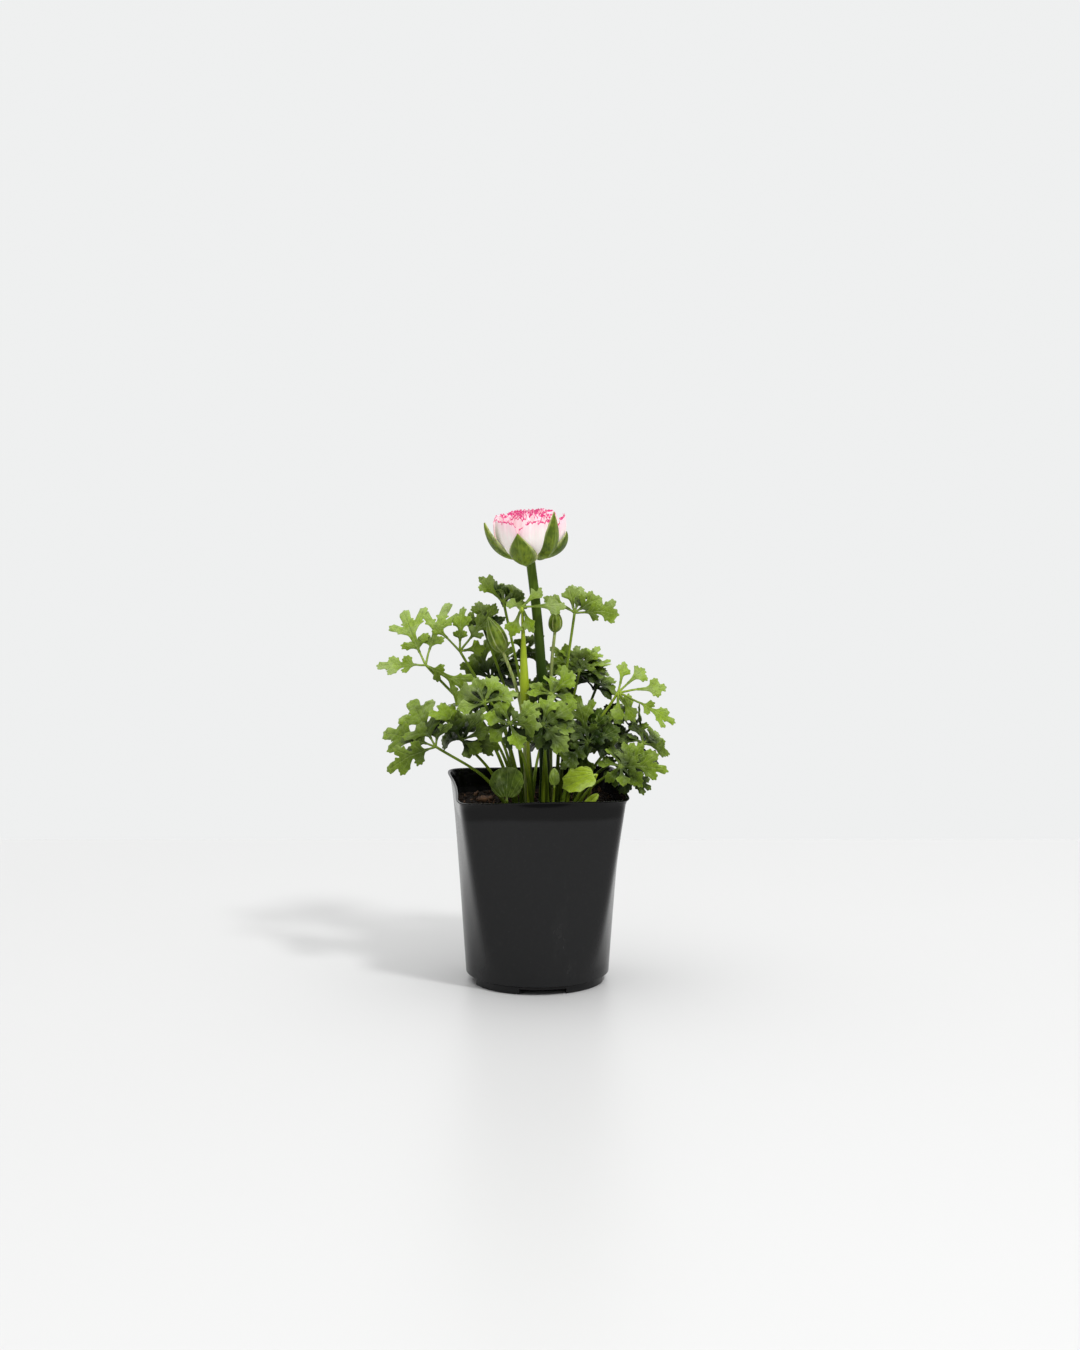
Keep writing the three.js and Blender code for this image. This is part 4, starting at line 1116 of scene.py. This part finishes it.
def add_blade(shell, x, y, step, field, vein, bend, half, lift, tone, length=None):
    """Cuts a blade out of its field and gives it two sides. half is half its thickness, and lift says
    how its middle rises by place and by distance from the edge."""
    places, faces = trace_blade(field)
    flat = np.column_stack((x[0] + places[:, 0] * step, y[0] + places[:, 1] * step))
    on_vein, depth = bilinear(vein, places), np.maximum(-bilinear(field, places), 0)
    half = half * (0.4 + 0.6 * smoothstep(depth, 0, 0.5))
    raised = lift(flat, depth) - 0.10 * on_vein
    verts, both = double_sided(flat, faces, lambda points, side: bend.place(points, side * half + raised))
    along = np.tile(np.clip(np.hypot(*flat.T) / length, 0, 1), 2) if length else 1.0
    shell.add(verts, both, vein=np.tile(on_vein, 2), rim=np.tile(np.clip(depth, 0, 1), 2), tone=tone,
              under=np.repeat((0.0, 1.0), len(flat)), stalk=0.0, along=along)


def add_stalk(shell, foot, hub, root_radius, tip_radius, tone, sheath=0.0):
    """Adds a leaf's stalk, with the point values that the leaf material reads."""
    verts, faces, along = petiole(foot, hub, root_radius, tip_radius, sheath)
    shell.add(verts, faces, vein=0.0, rim=1.0, tone=tone, under=0.0, stalk=1.0, along=along)


def build_leaf(leaf, settings):
    """One compound leaf: its leaflets, and where they stand close, a layer of them behind, darkened with
    painted shade.
    """
    name, foot, hub, face, tone, leaflets = leaf
    rng = random.Random(name)
    shell = Shell()
    for leaflet in leaflets:
        add_leaflet(shell, leaflet, hub, face, tone + rng.uniform(-0.38, 0.34), settings, rng)
    bushy = [leaflet for leaflet in leaflets if leaflet[3] <= BUSHY_SHARE]
    if len(bushy) > 2:
        for turn, length, width, _ in bushy:
            lower = (turn + rng.uniform(14, 34), length * rng.uniform(0.7, 0.9), width * 0.85, 0.12)
            behind = np.array(hub) - leaf_axes(face)[2] * rng.uniform(1.5, 5.0)
            # A tone below 0 paints this layer with shade
            add_leaflet(shell, lower, behind, face, tone + rng.uniform(-1.3, -0.6), settings, rng)
    tip = settings.petiole_diameter / MM / 2
    sheath = SHEATH if name == SHEATHED_LEAF else 0.0
    add_stalk(shell, foot, hub, tip * 1.45, tip * 0.72, max(tone, 2 * sheath), sheath)
    return shell


def add_leaflet(shell, leaflet, hub, face, tone, settings, rng):
    """One leaflet: its two-sided blade, quilted between the veins, and the ribs under it."""
    strokes = leaflet_strokes(leaflet, rng)
    x, y, field, vein = stroke_fields(strokes)
    bend = Bend(hub, face, leaflet[0], rng, 1.0 if leaflet[3] <= BUSHY_SHARE else 0.6)
    add_blade(shell, x, y, GRID, field, vein, bend, settings.leaf_thickness / MM / 2,
              lambda flat, depth: 0.30 * smoothstep(depth, 0, 1.6), tone, leaflet[1])
    for number, (a, b, _, _, order) in enumerate(strokes):
        if order:
            continue
        steps = max(int(np.linalg.norm(b - a) / 1.5), 3)
        line = np.array([lerp(a, b, k / steps) for k in range(steps + 1)])
        shares = np.linspace(0, 1, steps + 1)
        radii = lerp(0.42, 0.16, shares) if number else np.linspace(0.78, 0.48, steps + 1)
        rod, rod_faces, _ = tube(bend.place(line, -0.25), radii, 8)
        shell.add(rod, rod_faces, vein=0.7, rim=1.0, tone=tone, under=0.3, stalk=0.65, along=1.0)


def build_young_leaf(young, settings):
    """One whole blade with a rounded outline and a fan of veins."""
    name, foot, hub, face, tone, (turn, length, width), teeth, depth_of_teeth = young
    rng = random.Random(name)
    along, across = blade_axes(turn)
    step = GRID * 0.8
    x = np.arange(-length - 2, length + 2, step)
    y = np.arange(-length - 2, length + 2, step)
    gx, gy = np.meshgrid(x, y, indexing="ij")
    v, u = gx * along[0] + gy * along[1], gx * across[0] + gy * across[1]
    centre = length * 0.52
    heading = np.arctan2(u / width, (v - centre) / length)
    radius = np.hypot(u / (width / 2), (v - centre) / (length * 0.48))
    crenate = 1 - depth_of_teeth * 2 / width * np.abs(np.sin(heading * teeth / 2)) * (np.abs(heading) < 2.2)
    notch = 0.12 * np.exp(-((np.abs(heading) - math.pi) / 0.35) ** 2)
    field = (radius - crenate + notch) * width / 2
    neck = np.maximum(np.abs(u) - 0.6, np.abs(v - 3) - 3)
    field = np.minimum(field, neck)
    fan, reach = np.arctan2(u, v + 1.0), np.hypot(u, v + 1)
    vein = np.zeros_like(field)
    for k in range(-3, 4):
        vein = np.maximum(vein, np.exp(-((fan - k * 0.27) * reach / 0.28) ** 2) * (v > 0) * 0.8)
    shell = Shell()
    add_blade(shell, x, y, step, field, vein, Bend(hub, face, turn, rng, 0.5),
              settings.leaf_thickness / MM * 0.6, lambda flat, depth: 0.022 * ((flat @ across) ** 2), tone)
    tip = settings.petiole_diameter / MM / 2
    add_stalk(shell, foot, hub, tip * 1.2, tip * 0.6, tone)
    return shell


# ------------------------------------------------------------------ flower

def flower_matrix():
    """The flower's lean as a matrix, and the place that its axis starts from."""
    turn = Euler((0, -math.radians(FLOWER_LEAN), 0)).to_matrix()
    return np.array(turn), in_plant(STEM_TOP)


def in_flower(points):
    """Places in the flower's own frame, whose axis is Z, in the pot's frame."""
    turn, base = flower_matrix()
    return np.asarray(points) @ turn.T + base


def add_flower_plate(shell, shape, thickness, across, along, values):
    """Adds a thin plate of the flower. shape(u, v) gives radius, height, their normal and the angle,
    and values(u, v) gives the point values."""
    def surface(u, v):
        r, z, _, _, angle = shape(u, v)
        return in_flower(np.column_stack((r * np.cos(angle), r * np.sin(angle), z)))

    def normal(u, v):
        _, _, nr, nz, angle = shape(u, v)
        return np.column_stack((nr * np.cos(angle), nr * np.sin(angle), nz)) @ flower_matrix()[0].T

    verts, faces, u, v = plate(surface, normal, thickness, across, along)
    shell.add(verts, [tuple(reversed(face)) for face in faces], **values(u, v))


def cup(foot_r, foot_z, belly_r, belly_z, rim_r, rim_z, rise=0.3):
    """A cup's profile: radius and height along a bent line from foot to rim, and its outward normal."""
    control = np.array(((foot_r, foot_z), (belly_r * 0.7, foot_z + rise), (belly_r + 1.5, belly_z),
                        (rim_r, rim_z)))

    def at(v):
        v = np.asarray(v)[:, None]
        w = 1 - v
        point = w ** 3 * control[0] + 3 * w * w * v * control[1]
        point = point + 3 * w * v * v * control[2] + v ** 3 * control[3]
        slope = 3 * w * w * (control[1] - control[0]) + 6 * w * v * (control[2] - control[1])
        slope = slope + 3 * v * v * (control[3] - control[2])
        slope = slope / np.linalg.norm(slope, axis=1)[:, None]
        return point[:, 0], point[:, 1], slope[:, 1], -slope[:, 0]

    return at


SEAT = 0.7              # from the receptacle to the petals' feet
SEPAL_THICKNESS = 0.7
PETAL_WHORLS = (
    # count, first direction, half span, profile, how deep in the flower
    (5, 210, 42, cup(RECEPTACLE_RADIUS + SEAT, 1.6, 20.5, 8, 20.0, 24.4), 0.0),
    (5, 246, 42, cup(RECEPTACLE_RADIUS * 0.85 + SEAT, 3.8, 17.3, 10, 15.8, 26.2), 0.3),
    (4, 228, 52, cup(RECEPTACLE_RADIUS * 0.6 + SEAT, 5.3, 13.8, 11.5, 11.4, 27.0), 0.55),
    (3, 276, 64, cup(RECEPTACLE_RADIUS * 0.3 + SEAT, 6.0, 10, 13, 7.2, 27.2), 0.8),
)

SEPAL_FOOT = RECEPTACLE_RADIUS * 0.9 + 0.4
SEPALS = (
    # direction, half span, lean, profile
    (186, 21, 2, cup(SEPAL_FOOT, 0.2, 24.0, 8.0, 26.0, 23.0, 0.8)),
    (253, 25, -5, cup(SEPAL_FOOT - 2, -2.4, 22.5, 2.5, 21.4, 18.0, -1.5)),
    (306, 21, 3, cup(SEPAL_FOOT, 0.2, 23.5, 7.0, 21.8, 29.2, 0.6)),
    (343, 23, -4, cup(SEPAL_FOOT, 0.2, 23, 6.5, 22.6, 15.5, 0.2)),
    (100, 23, 4, cup(SEPAL_FOOT, -1.2, 23, 7, 22.6, 19.5)),
)


def add_petal(shell, profile, middle, span, frill, tuck, seed, deep, thickness, steps, bulge=0.0):
    """A petal over (u, v), with a rounded, frilled top and one side tucked in."""
    rng = random.Random(seed)
    phases = [rng.uniform(0, 6.28) for _ in range(6)]
    drop, skew = rng.uniform(0.04, 0.10), rng.uniform(-0.05, 0.05)

    def shape(u, v):
        top = 1 - drop * np.abs(u) ** 2.6 + skew * u - 0.012 * np.sin(5 * u + phases[0])
        ragged = 0.020 * np.sin(23 * u + phases[1]) + 0.013 * np.sin(41 * u + phases[2])
        w = v * (top + ragged * smoothstep(v, 0.7, 1.0) * frill)
        r, z, nr, nz = profile(np.clip(w, 0, 1))
        z = z + np.maximum(w - 1, 0) * 20
        wide = 0.50 + 0.50 * np.sin(math.pi * np.minimum(1, v * 0.62 + 0.16))
        angle = np.radians(middle + span * u * wide)
        near = smoothstep(v, 0.55, 1.0)
        wave = 0.9 * np.sin(6.5 * u + phases[3]) + 0.55 * np.sin(15 * u + phases[4]) * near
        r = r + frill * near * wave * 0.75 + tuck * u * (0.3 + 0.7 * v) - 0.5 * near * frill
        ripple = 0.18 * np.sin(9 * u + phases[5]) * smoothstep(v, 0.1, 0.6)
        r = r * (1 + bulge * smoothstep(v, 0.2, 0.7)) + ripple
        return r, z, nr, nz, angle

    def values(u, v):
        # rim is the distance from the top edge, as a share
        rim = np.minimum(1 - v, (1 - np.abs(u)) * 0.9 + (1 - v) * 0.35 + 0.02)
        streak = 0.5 + 0.5 * np.sin(34 * u + 3 * np.sin(5 * u + phases[0]) + 2.0 * v)
        return {"rim": rim, "across": np.abs(u), "deep": deep, "streak": streak}

    add_flower_plate(shell, shape, thickness, *steps, values)


def build_petals(settings, material):
    """The outer whorls. Petals of the first one bulge a little on the flower's right."""
    number = 0
    for count, start, span, profile, deep in PETAL_WHORLS:
        for i in range(count):
            number += 1
            middle = start + 360 / count * i
            frill = settings.frill * (0.7 + 0.9 * deep)
            bulge = 0.10 * max(math.cos(math.radians(middle + 4)), 0) * (deep == 0)
            shell = Shell()
            add_petal(shell, profile, middle, span, frill, 0.9, number * 7, deep + 7 * bulge,
                      settings.petal_thickness / MM, (44, 34), bulge)
            finish_piece(shell.piece(f"petal_{number}_tissue", material), "petal", f"petal_{number}")


def inner_petal_tree():
    """Copies of one petal turned round the flower's axis, each whorl nearer to it than the last."""
    tree = Tree("inner petals", (
        ("Petal", "NodeSocketObject"), ("Count", "NodeSocketInt"), ("Outer", "NodeSocketFloat"),
        ("Inner", "NodeSocketFloat"), ("Step", "NodeSocketFloat"), ("Seed", "NodeSocketInt"),
        ("Material", "NodeSocketMaterial")))
    line = tree.node("GeometryNodeMeshLine", {"mode": "OFFSET"}, {
        "Count": tree.take("Count"), "Start Location": (0, 0, 0), "Offset": (0, 0, 0)})
    index = tree.node("GeometryNodeInputIndex")
    share = tree.math("DIVIDE", index, tree.take("Count"))
    spread = tree.math("SUBTRACT", tree.take("Inner"), tree.take("Outer"))
    radius = tree.math("ADD", tree.math("MULTIPLY", spread, share), tree.take("Outer"))
    angle = tree.math("MULTIPLY", index, tree.take("Step"))
    spin = tree.node("ShaderNodeCombineXYZ", None, {"Z": angle})
    tall = tree.node("FunctionNodeRandomValue", {"data_type": "FLOAT"}, {
        2: 0.93, 3: 1.03, "Seed": tree.take("Seed")}, out=1)
    size = tree.node("ShaderNodeCombineXYZ", None, {"X": radius, "Y": radius, "Z": tall})
    petal = tree.node("GeometryNodeObjectInfo", None, {"Object": tree.take("Petal")}, out="Geometry")
    copies = tree.node("GeometryNodeInstanceOnPoints", None, {
        "Points": line, "Instance": petal, "Rotation": spin, "Scale": size})
    tree.close(copies)
    return tree


GOLDEN_ANGLE = 137.5


def build_inner_petals(settings, material):
    """The tight, frilled middle of the flower."""
    turn, base = flower_matrix()
    shell = Shell()
    add_petal(shell, cup(2.4, 5.0, 9.4, 13, 6.6, 27.2), 0, 46, settings.frill * 1.5, 0.5, 91, 0.85,
              settings.petal_thickness / MM, (30, 22))
    shell.verts = [(verts - base) @ turn for verts in shell.verts]
    pattern = shell.piece("petal_pattern", material)
    holder = Shell()
    holder.add(((0, 0, 0), (1, 0, 0), (0, 1, 0)), ((0, 1, 2),))
    piece = holder.piece("inner_petals", material)
    inner_petal_tree().run(piece, {
        "Petal": pattern, "Count": settings.inner_petals, "Outer": 2.02, "Inner": 0.22,
        "Step": math.radians(GOLDEN_ANGLE), "Seed": 4, "Material": material})
    bpy.data.objects.remove(pattern)
    co = np.empty(len(piece.data.vertices) * 3)
    piece.data.vertices.foreach_get("co", co)
    placed = in_flower(co.reshape(-1, 3) / MM) * MM
    piece.data.vertices.foreach_set("co", placed.ravel())
    piece.data.polygons.foreach_set("use_smooth", [True] * len(piece.data.polygons))
    piece.data.update()
    finish_piece(piece, "petal")


def build_sepals(material):
    """Boat-shaped sepals: a raised midrib, sides that turn in to the petals, and a drawn-out tip."""
    for number, (middle, span, lean, profile) in enumerate(SEPALS, 1):
        def shape(u, v, middle=middle, span=span, lean=lean, profile=profile, number=number):
            wide = 0.44 + 0.80 * np.sin(math.pi * np.clip(v * 0.84 + 0.02, 0, 1)) ** 0.7
            wide = wide * (1 - v ** 4.4) + 0.012
            r, z, nr, nz = profile(v)
            hollow = 3.2 * np.abs(u) ** 1.7 * np.sin(math.pi * np.clip(v * 0.96 + 0.02, 0, 1)) ** 0.8
            crease = 0.5 * np.exp(-(u / 0.10) ** 2) * (1 - v)
            ripple = 0.35 * np.sin(7 * v + 3 * u + number) * np.abs(u)
            off = 0.6 - hollow + crease + ripple
            angle = np.radians(middle + lean * v ** 2 + span * u * wide)
            return r + off * nr, z + off * nz, nr, nz, angle

        shell = Shell()
        add_flower_plate(shell, shape, SEPAL_THICKNESS, 28, 34,
                         lambda u, v: {"across": np.abs(u), "along": v})
        finish_piece(shell.piece(f"sepal_{number}_tissue", material), "sepal", f"sepal_{number}")


def build_stem(settings, material):
    """The flower's stem, which widens into the receptacle that carries the petals."""
    path = in_plant(smooth_path((*STEM_WAY, STEM_TOP), 60))
    thick = settings.stem_diameter / MM / 2
    radii = list(lerp(thick * 1.08, thick * 0.95, np.linspace(0, 1, len(path))))
    # the receptacle as (height, radius as a share of the stem's)
    head = ((1.2, 1.05), (1.6, 1.5), (2.0, 1.9), (2.6, 2.15), (3.6, 2.1), (4.6, 1.75), (5.2, 1.2),
            (5.5, 0.5), (5.6, 0.15))
    cap = in_flower([(0, 0, z - 1.0) for z, _ in head])
    verts, faces, along = tube(np.concatenate((path, cap)), radii + [thick * s for _, s in head], 20,
                               ridges=9, ridge=0.02)
    shell = Shell()
    shell.add(verts, faces, along=along)
    finish_piece(shell.piece("stem_tissue", material), "stem", "flower_stem")


def build_bud(bud, settings, material):
    """A closed bud: overlapping sepals drawn to a point, on a thin stalk."""
    name, foot, way, base, tip, width = bud
    thin = settings.petiole_diameter / MM / 2 * 0.92
    path = in_plant(smooth_path(((*foot, -ROOTING_DEPTH), *way, base), 40))
    axis = np.array(tip, float) - np.array(base, float)
    shares = np.array((0.04, 0.1, 0.18, 0.28, 0.4, 0.52, 0.64, 0.75, 0.85, 0.93, 0.98, 1.0))
    swell = np.array((0.45, 0.68, 0.86, 0.98, 1.0, 0.96, 0.84, 0.66, 0.46, 0.27, 0.14, 0.05))
    body = in_plant(np.array(base) + shares[:, None] * axis)
    radii = np.concatenate((lerp(thin, thin * 0.8, np.linspace(0, 1, len(path))), swell * width / 2))
    verts, faces, along = tube(np.concatenate((path, body)), radii, 40)
    stem_share = len(path) / (len(path) + len(body))
    on_bud = np.clip((along - stem_share) / (1 - stem_share), 0, 1)
    axis_w = in_plant(np.array(tip)) - in_plant(np.array(base))
    axis_w /= np.linalg.norm(axis_w)
    centre = in_plant(np.array(base))
    radial = verts - centre - np.outer((verts - centre) @ axis_w, axis_w)
    side = np.cross(axis_w, (0, 1, 0))
    side /= np.linalg.norm(side)
    turn = np.arctan2(radial @ np.cross(axis_w, side), radial @ side)
    wave = np.abs(np.sin(2.5 * turn + 0.9 * on_bud))
    verts = verts + radial * (0.10 * wave * (on_bud > 0) * np.sin(math.pi * on_bud) ** 0.5)[:, None]
    shell = Shell()
    shell.add(verts, faces, along=on_bud, across=1 - wave * (on_bud > 0))
    finish_piece(shell.piece(name + "_tissue", material), "bud", name)


# ------------------------------------------------------------------ settings

def length(label, note, value):
    return FloatProperty(name=label, description=note, default=value, unit="LENGTH", precision=4)


def colour(label, note, value):
    return FloatVectorProperty(name=label, description=note, default=value, subtype="COLOR", size=3,
                               min=0, max=1)


def number(label, note, value):
    return FloatProperty(name=label, description=note, default=value)


class PotSettings(bpy.types.PropertyGroup):
    width: length("Width", "Across the flat sides at the rim", 0.100)
    base_diameter: length("Base diameter", "Where the wall turns in to the foot", 0.0856)
    foot_diameter: length("Foot diameter", "Across the foot ring", 0.0808)
    wall: length("Wall", "Thickness of the wall", 0.0010)
    corner_flare: length("Corner flare", "How far the corners of the rim lean out", 0.0014)
    side_dip: length("Side dip", "How far the rim's sides bow in", 0.0008)
    colour: colour("Plastic", "Colour of the plastic", (0.0120, 0.0122, 0.0128))
    dust_colour: colour("Dust", "Colour of dried water marks", (0.075, 0.075, 0.072))


class SoilSettings(bpy.types.PropertyGroup):
    crumb_density: number("Crumbs", "Crumbs for each square metre", 190000.0)
    dark_colour: colour("Dark", "Moist soil", (0.005, 0.003, 0.002))
    light_colour: colour("Light", "Drier soil", (0.024, 0.014, 0.008))
    fibre_colour: colour("Fibre", "Peat fibres", (0.075, 0.042, 0.020))
    bark_dark: colour("Bark, dark", "Hollows of the bark", (0.045, 0.02, 0.010))
    bark_light: colour("Bark, light", "Fibres of the bark", (0.20, 0.10, 0.045))


class PlantSettings(bpy.types.PropertyGroup):
    turn_degrees: number("Turn", "How the plant is turned in its pot, in degrees", -4.9)
    petiole_diameter: length("Leaf stalk", "Diameter of a leaf's stalk", 0.0025)
    stem_diameter: length("Stem", "Diameter of the flower's stem", 0.0058)
    leaf_thickness: length("Leaf thickness", "Thickness of a leaf's blade", 0.00042)
    cool_colour: colour("Cool green", "Bluish leaves", (0.190, 0.280, 0.026))
    warm_colour: colour("Warm green", "Yellowish leaves", (0.265, 0.400, 0.018))
    # Mottling, and also painted shade on blades with a tone below 0 and on stalks low in the plant
    dark_colour: colour("Dark green", "Mottling", (0.030, 0.066, 0.003))
    # Painted shade for tissue that other leaves close off from the sky
    shade_colour: colour("Inner green", "Tissue deep within the plant", (0.005, 0.016, 0.0006))
    under_colour: colour("Underside", "Paler lower side", (0.15, 0.22, 0.05))
    # Painted highlight: pale patches, and tissue open to the sky, painted as glints
    painted_highlight_colour: colour("Bloom", "Pale patches on the upper side", (0.38, 0.47, 0.20))
    vein_colour: colour("Veins", "Veins and rims", (0.32, 0.42, 0.10))
    stalk_colour: colour("Stalks", "Leaf stalks", (0.17, 0.26, 0.020))
    young_colour: colour("Young stalks", "Pale new stalks and sheaths", (0.40, 0.52, 0.030))
    # Painted shade on the stem low down, within the leaves
    stem_painted_shade: colour("Stem, low", "The flower's stem within the leaves", (0.010, 0.028, 0.001))
    stem_high: colour("Stem, high", "The flower's stem near the flower", (0.082, 0.145, 0.008))
    stem_streak: colour("Stem, streaks", "Pale lengthwise streaks on the stem", (0.15, 0.23, 0.02))
    sepal_dark: colour("Sepal, dark", "Darker patches", (0.075, 0.125, 0.006))
    sepal_light: colour("Sepal, light", "Lighter patches", (0.225, 0.310, 0.020))
    sepal_margin: colour("Sepal, margin", "Thin pale edges", (0.50, 0.55, 0.22))
    sepal_foot: colour("Sepal, foot", "Pale foot of a sepal", (0.30, 0.39, 0.09))
    sepal_rib: colour("Sepal, ribs", "Dark ribs", (0.040, 0.075, 0.004))
    sepal_keel: colour("Sepal, keel", "Paler line down the middle", (0.26, 0.35, 0.06))


class FlowerSettings(bpy.types.PropertyGroup):
    petal_thickness: length("Petal thickness", "Thickness of a petal", 0.00038)
    frill: number("Frill", "How wavy the petals' rims are", 0.9)
    inner_petals: IntProperty(name="Inner petals", description="Petals in the tight middle", default=30)
    body_colour: colour("Petal", "Colour of a petal's body", (0.90, 0.83, 0.80))
    flush_colour: colour("Flush", "Pink towards the rim", (0.93, 0.55, 0.64))
    edge_colour: colour("Edge", "Deep pink of the rim", (0.60, 0.006, 0.14))
    heel_colour: colour("Heel", "Pale green at a petal's foot", (0.62, 0.66, 0.40))


class StageSettings(bpy.types.PropertyGroup):
    floor_depth: length("Floor depth", "How far the floor reaches behind the pot", 0.365)
    floor_colour: colour("Floor", "Colour of the floor", (0.618, 0.618, 0.616))
    wall_colour: colour("Walls", "Colour and light of the walls", (0.862, 0.870, 0.870))
    overhead: number("Overhead light", "Brightness of the soft light overhead", 1.98)
    room_colour: colour("Room", "Colour and light of the room in front", (0.28, 0.28, 0.28))
    key_power: number("Key light", "Power of the main lamp in watts", 66.0)
    key_size: length("Key light's width", "Across the main lamp", 0.48)
    camera_side: length("Camera side", "To the right of the pot's axis", 0.0016)
    camera_height: length("Camera height", "Above the floor", 0.640)
    camera_distance: length("Camera distance", "From the pot's axis, along the floor", 2.372)
    camera_pitch: number("Camera pitch", "Downward, in degrees", 10.85)
    lens_mm: number("Lens", "Focal length in millimetres", 108.56)


# ------------------------------------------------------------------ operators

class OBJECT_OT_ranunculus_pot(bpy.types.Operator):
    """Build the nursery pot"""
    bl_idname = "object.ranunculus_pot"
    bl_label = "Pot"

    def execute(self, context):
        build_pot(context.scene.ranunculus_pot)
        return {"FINISHED"}


class OBJECT_OT_ranunculus_soil(bpy.types.Operator):
    """Build the potting mix, its crumbs and the chip of bark"""
    bl_idname = "object.ranunculus_soil"
    bl_label = "Potting mix"

    def execute(self, context):
        pot, soil = context.scene.ranunculus_pot, context.scene.ranunculus_soil
        build_soil(pot, soil)
        build_crumbs(pot, soil)
        build_chip()
        return {"FINISHED"}


class OBJECT_OT_ranunculus_stems(bpy.types.Operator):
    """Build the flower's stem and the buds"""
    bl_idname = "object.ranunculus_stems"
    bl_label = "Stem and buds"

    def execute(self, context):
        plant = context.scene.ranunculus_plant
        build_stem(plant, paint_stalk("stem_tissue", plant.stem_painted_shade, plant.stem_high, plant.stem_streak))
        material = paint_sepal(plant)
        for bud in BUDS:
            build_bud(bud, plant, material)
        return {"FINISHED"}


class OBJECT_OT_ranunculus_flower(bpy.types.Operator):
    """Build the sepals and petals"""
    bl_idname = "object.ranunculus_flower"
    bl_label = "Flower"

    def execute(self, context):
        flower = context.scene.ranunculus_flower
        build_sepals(bpy.data.materials["sepal_tissue"])
        material = paint_petal(flower)
        build_petals(flower, material)
        build_inner_petals(flower, material)
        return {"FINISHED"}


class OBJECT_OT_ranunculus_leaves(bpy.types.Operator):
    """Build the compound leaves and the young leaves"""
    bl_idname = "object.ranunculus_leaves"
    bl_label = "Leaves"

    def execute(self, context):
        plant = context.scene.ranunculus_plant
        material = paint_leaf(plant)
        shells = [(leaf[0], "leaf", build_leaf(leaf, plant)) for leaf in LEAVES]
        shells += [(young[0], "young_leaf", build_young_leaf(young, plant)) for young in YOUNG_LEAVES]
        canopy = Canopy([verts for _, _, shell in shells for verts in shell.verts])
        for name, slot, shell in shells:
            # How open each place is to the sky, which the leaf material paints as light and shade
            shell.values["open"] = [canopy.at(verts) for verts in shell.verts]
            finish_piece(shell.piece(name + "_blade", material), slot, name)
        return {"FINISHED"}


class OBJECT_OT_ranunculus_stage(bpy.types.Operator):
    """Lay the floor and set the lamps and the camera"""
    bl_idname = "object.ranunculus_stage"
    bl_label = "Floor, lamps and camera"

    def execute(self, context):
        build_stage(context.scene, context.scene.ranunculus_stage, context.scene.ranunculus_plant)
        return {"FINISHED"}


FLOOR_REACH = 4                     # metres, to the sides and to the front
KEY_PLACE = (1.35, -1.75, 3.1)      # metres, in the plant's directions
KEY_AIM = (0, 0, 0.12)


def build_stage(scene, stage, plant):
    """The floor, the light from the surroundings, the main lamp and the camera."""
    turn = math.radians(plant.turn_degrees)

    def turned(x, y, z):
        return Vector((*rotated(x, y, turn), z))

    mesh = bpy.data.meshes.new("floor")
    reach, back = FLOOR_REACH, stage.floor_depth
    corners = ((-reach, -reach), (reach, -reach), (reach, back), (-reach, back))
    mesh.from_pydata([turned(x, y, 0) for x, y in corners], [], [(0, 1, 2, 3)])
    mesh.materials.append(paint_floor(stage))
    floor = bpy.data.objects.new("floor", mesh)
    scene.collection.objects.link(floor)

    scene.world = paint_surroundings(stage)

    lamp = bpy.data.lights.new("key lamp", "AREA")
    lamp.shape, lamp.size, lamp.energy = "DISK", stage.key_size, stage.key_power
    key = bpy.data.objects.new("key lamp", lamp)
    key.location = turned(*KEY_PLACE)
    key.rotation_euler = (Vector(KEY_AIM) - key.location).to_track_quat("-Z", "Y").to_euler()
    scene.collection.objects.link(key)

    camera = bpy.data.cameras.new("camera")
    camera.lens, camera.sensor_width = stage.lens_mm, 36
    view = bpy.data.objects.new("camera", camera)
    view.location = turned(stage.camera_side, -stage.camera_distance, stage.camera_height)
    view.rotation_euler = (math.radians(90 - stage.camera_pitch), 0, turn)
    scene.collection.objects.link(view)
    scene.camera = view
    scene.view_settings.view_transform = "Standard"


class VIEW3D_PT_ranunculus(bpy.types.Panel):
    """Sizes, colours and one button for each group of pieces"""
    bl_idname = "VIEW3D_PT_ranunculus"
    bl_label = "Potted Ranunculus"
    bl_space_type = "VIEW_3D"
    bl_region_type = "UI"
    bl_category = "Ranunculus"

    def draw(self, context):
        for name, _ in GROUPS:
            box = self.layout.box()
            settings = getattr(context.scene, name)
            for key in settings.bl_rna.properties.keys():
                if key not in ("rna_type", "name"):
                    box.prop(settings, key)
        for operator in OPERATORS:
            self.layout.operator(operator.bl_idname)


GROUPS = (("ranunculus_pot", PotSettings), ("ranunculus_soil", SoilSettings),
          ("ranunculus_plant", PlantSettings), ("ranunculus_flower", FlowerSettings),
          ("ranunculus_stage", StageSettings))
OPERATORS = (OBJECT_OT_ranunculus_stage, OBJECT_OT_ranunculus_pot, OBJECT_OT_ranunculus_soil,
             OBJECT_OT_ranunculus_stems, OBJECT_OT_ranunculus_flower, OBJECT_OT_ranunculus_leaves)
CLASSES = tuple(kind for _, kind in GROUPS) + OPERATORS + (VIEW3D_PT_ranunculus,)


def register():
    for kind in CLASSES:
        bpy.utils.register_class(kind)
    for name, kind in GROUPS:
        setattr(bpy.types.Scene, name, PointerProperty(type=kind))


def unregister():
    for name, _ in GROUPS:
        delattr(bpy.types.Scene, name)
    for kind in reversed(CLASSES):
        bpy.utils.unregister_class(kind)


def main():
    register()
    for operator in OPERATORS:
        group, name = operator.bl_idname.split(".")
        getattr(getattr(bpy.ops, group), name)()


if __name__ == "__main__":
    main()
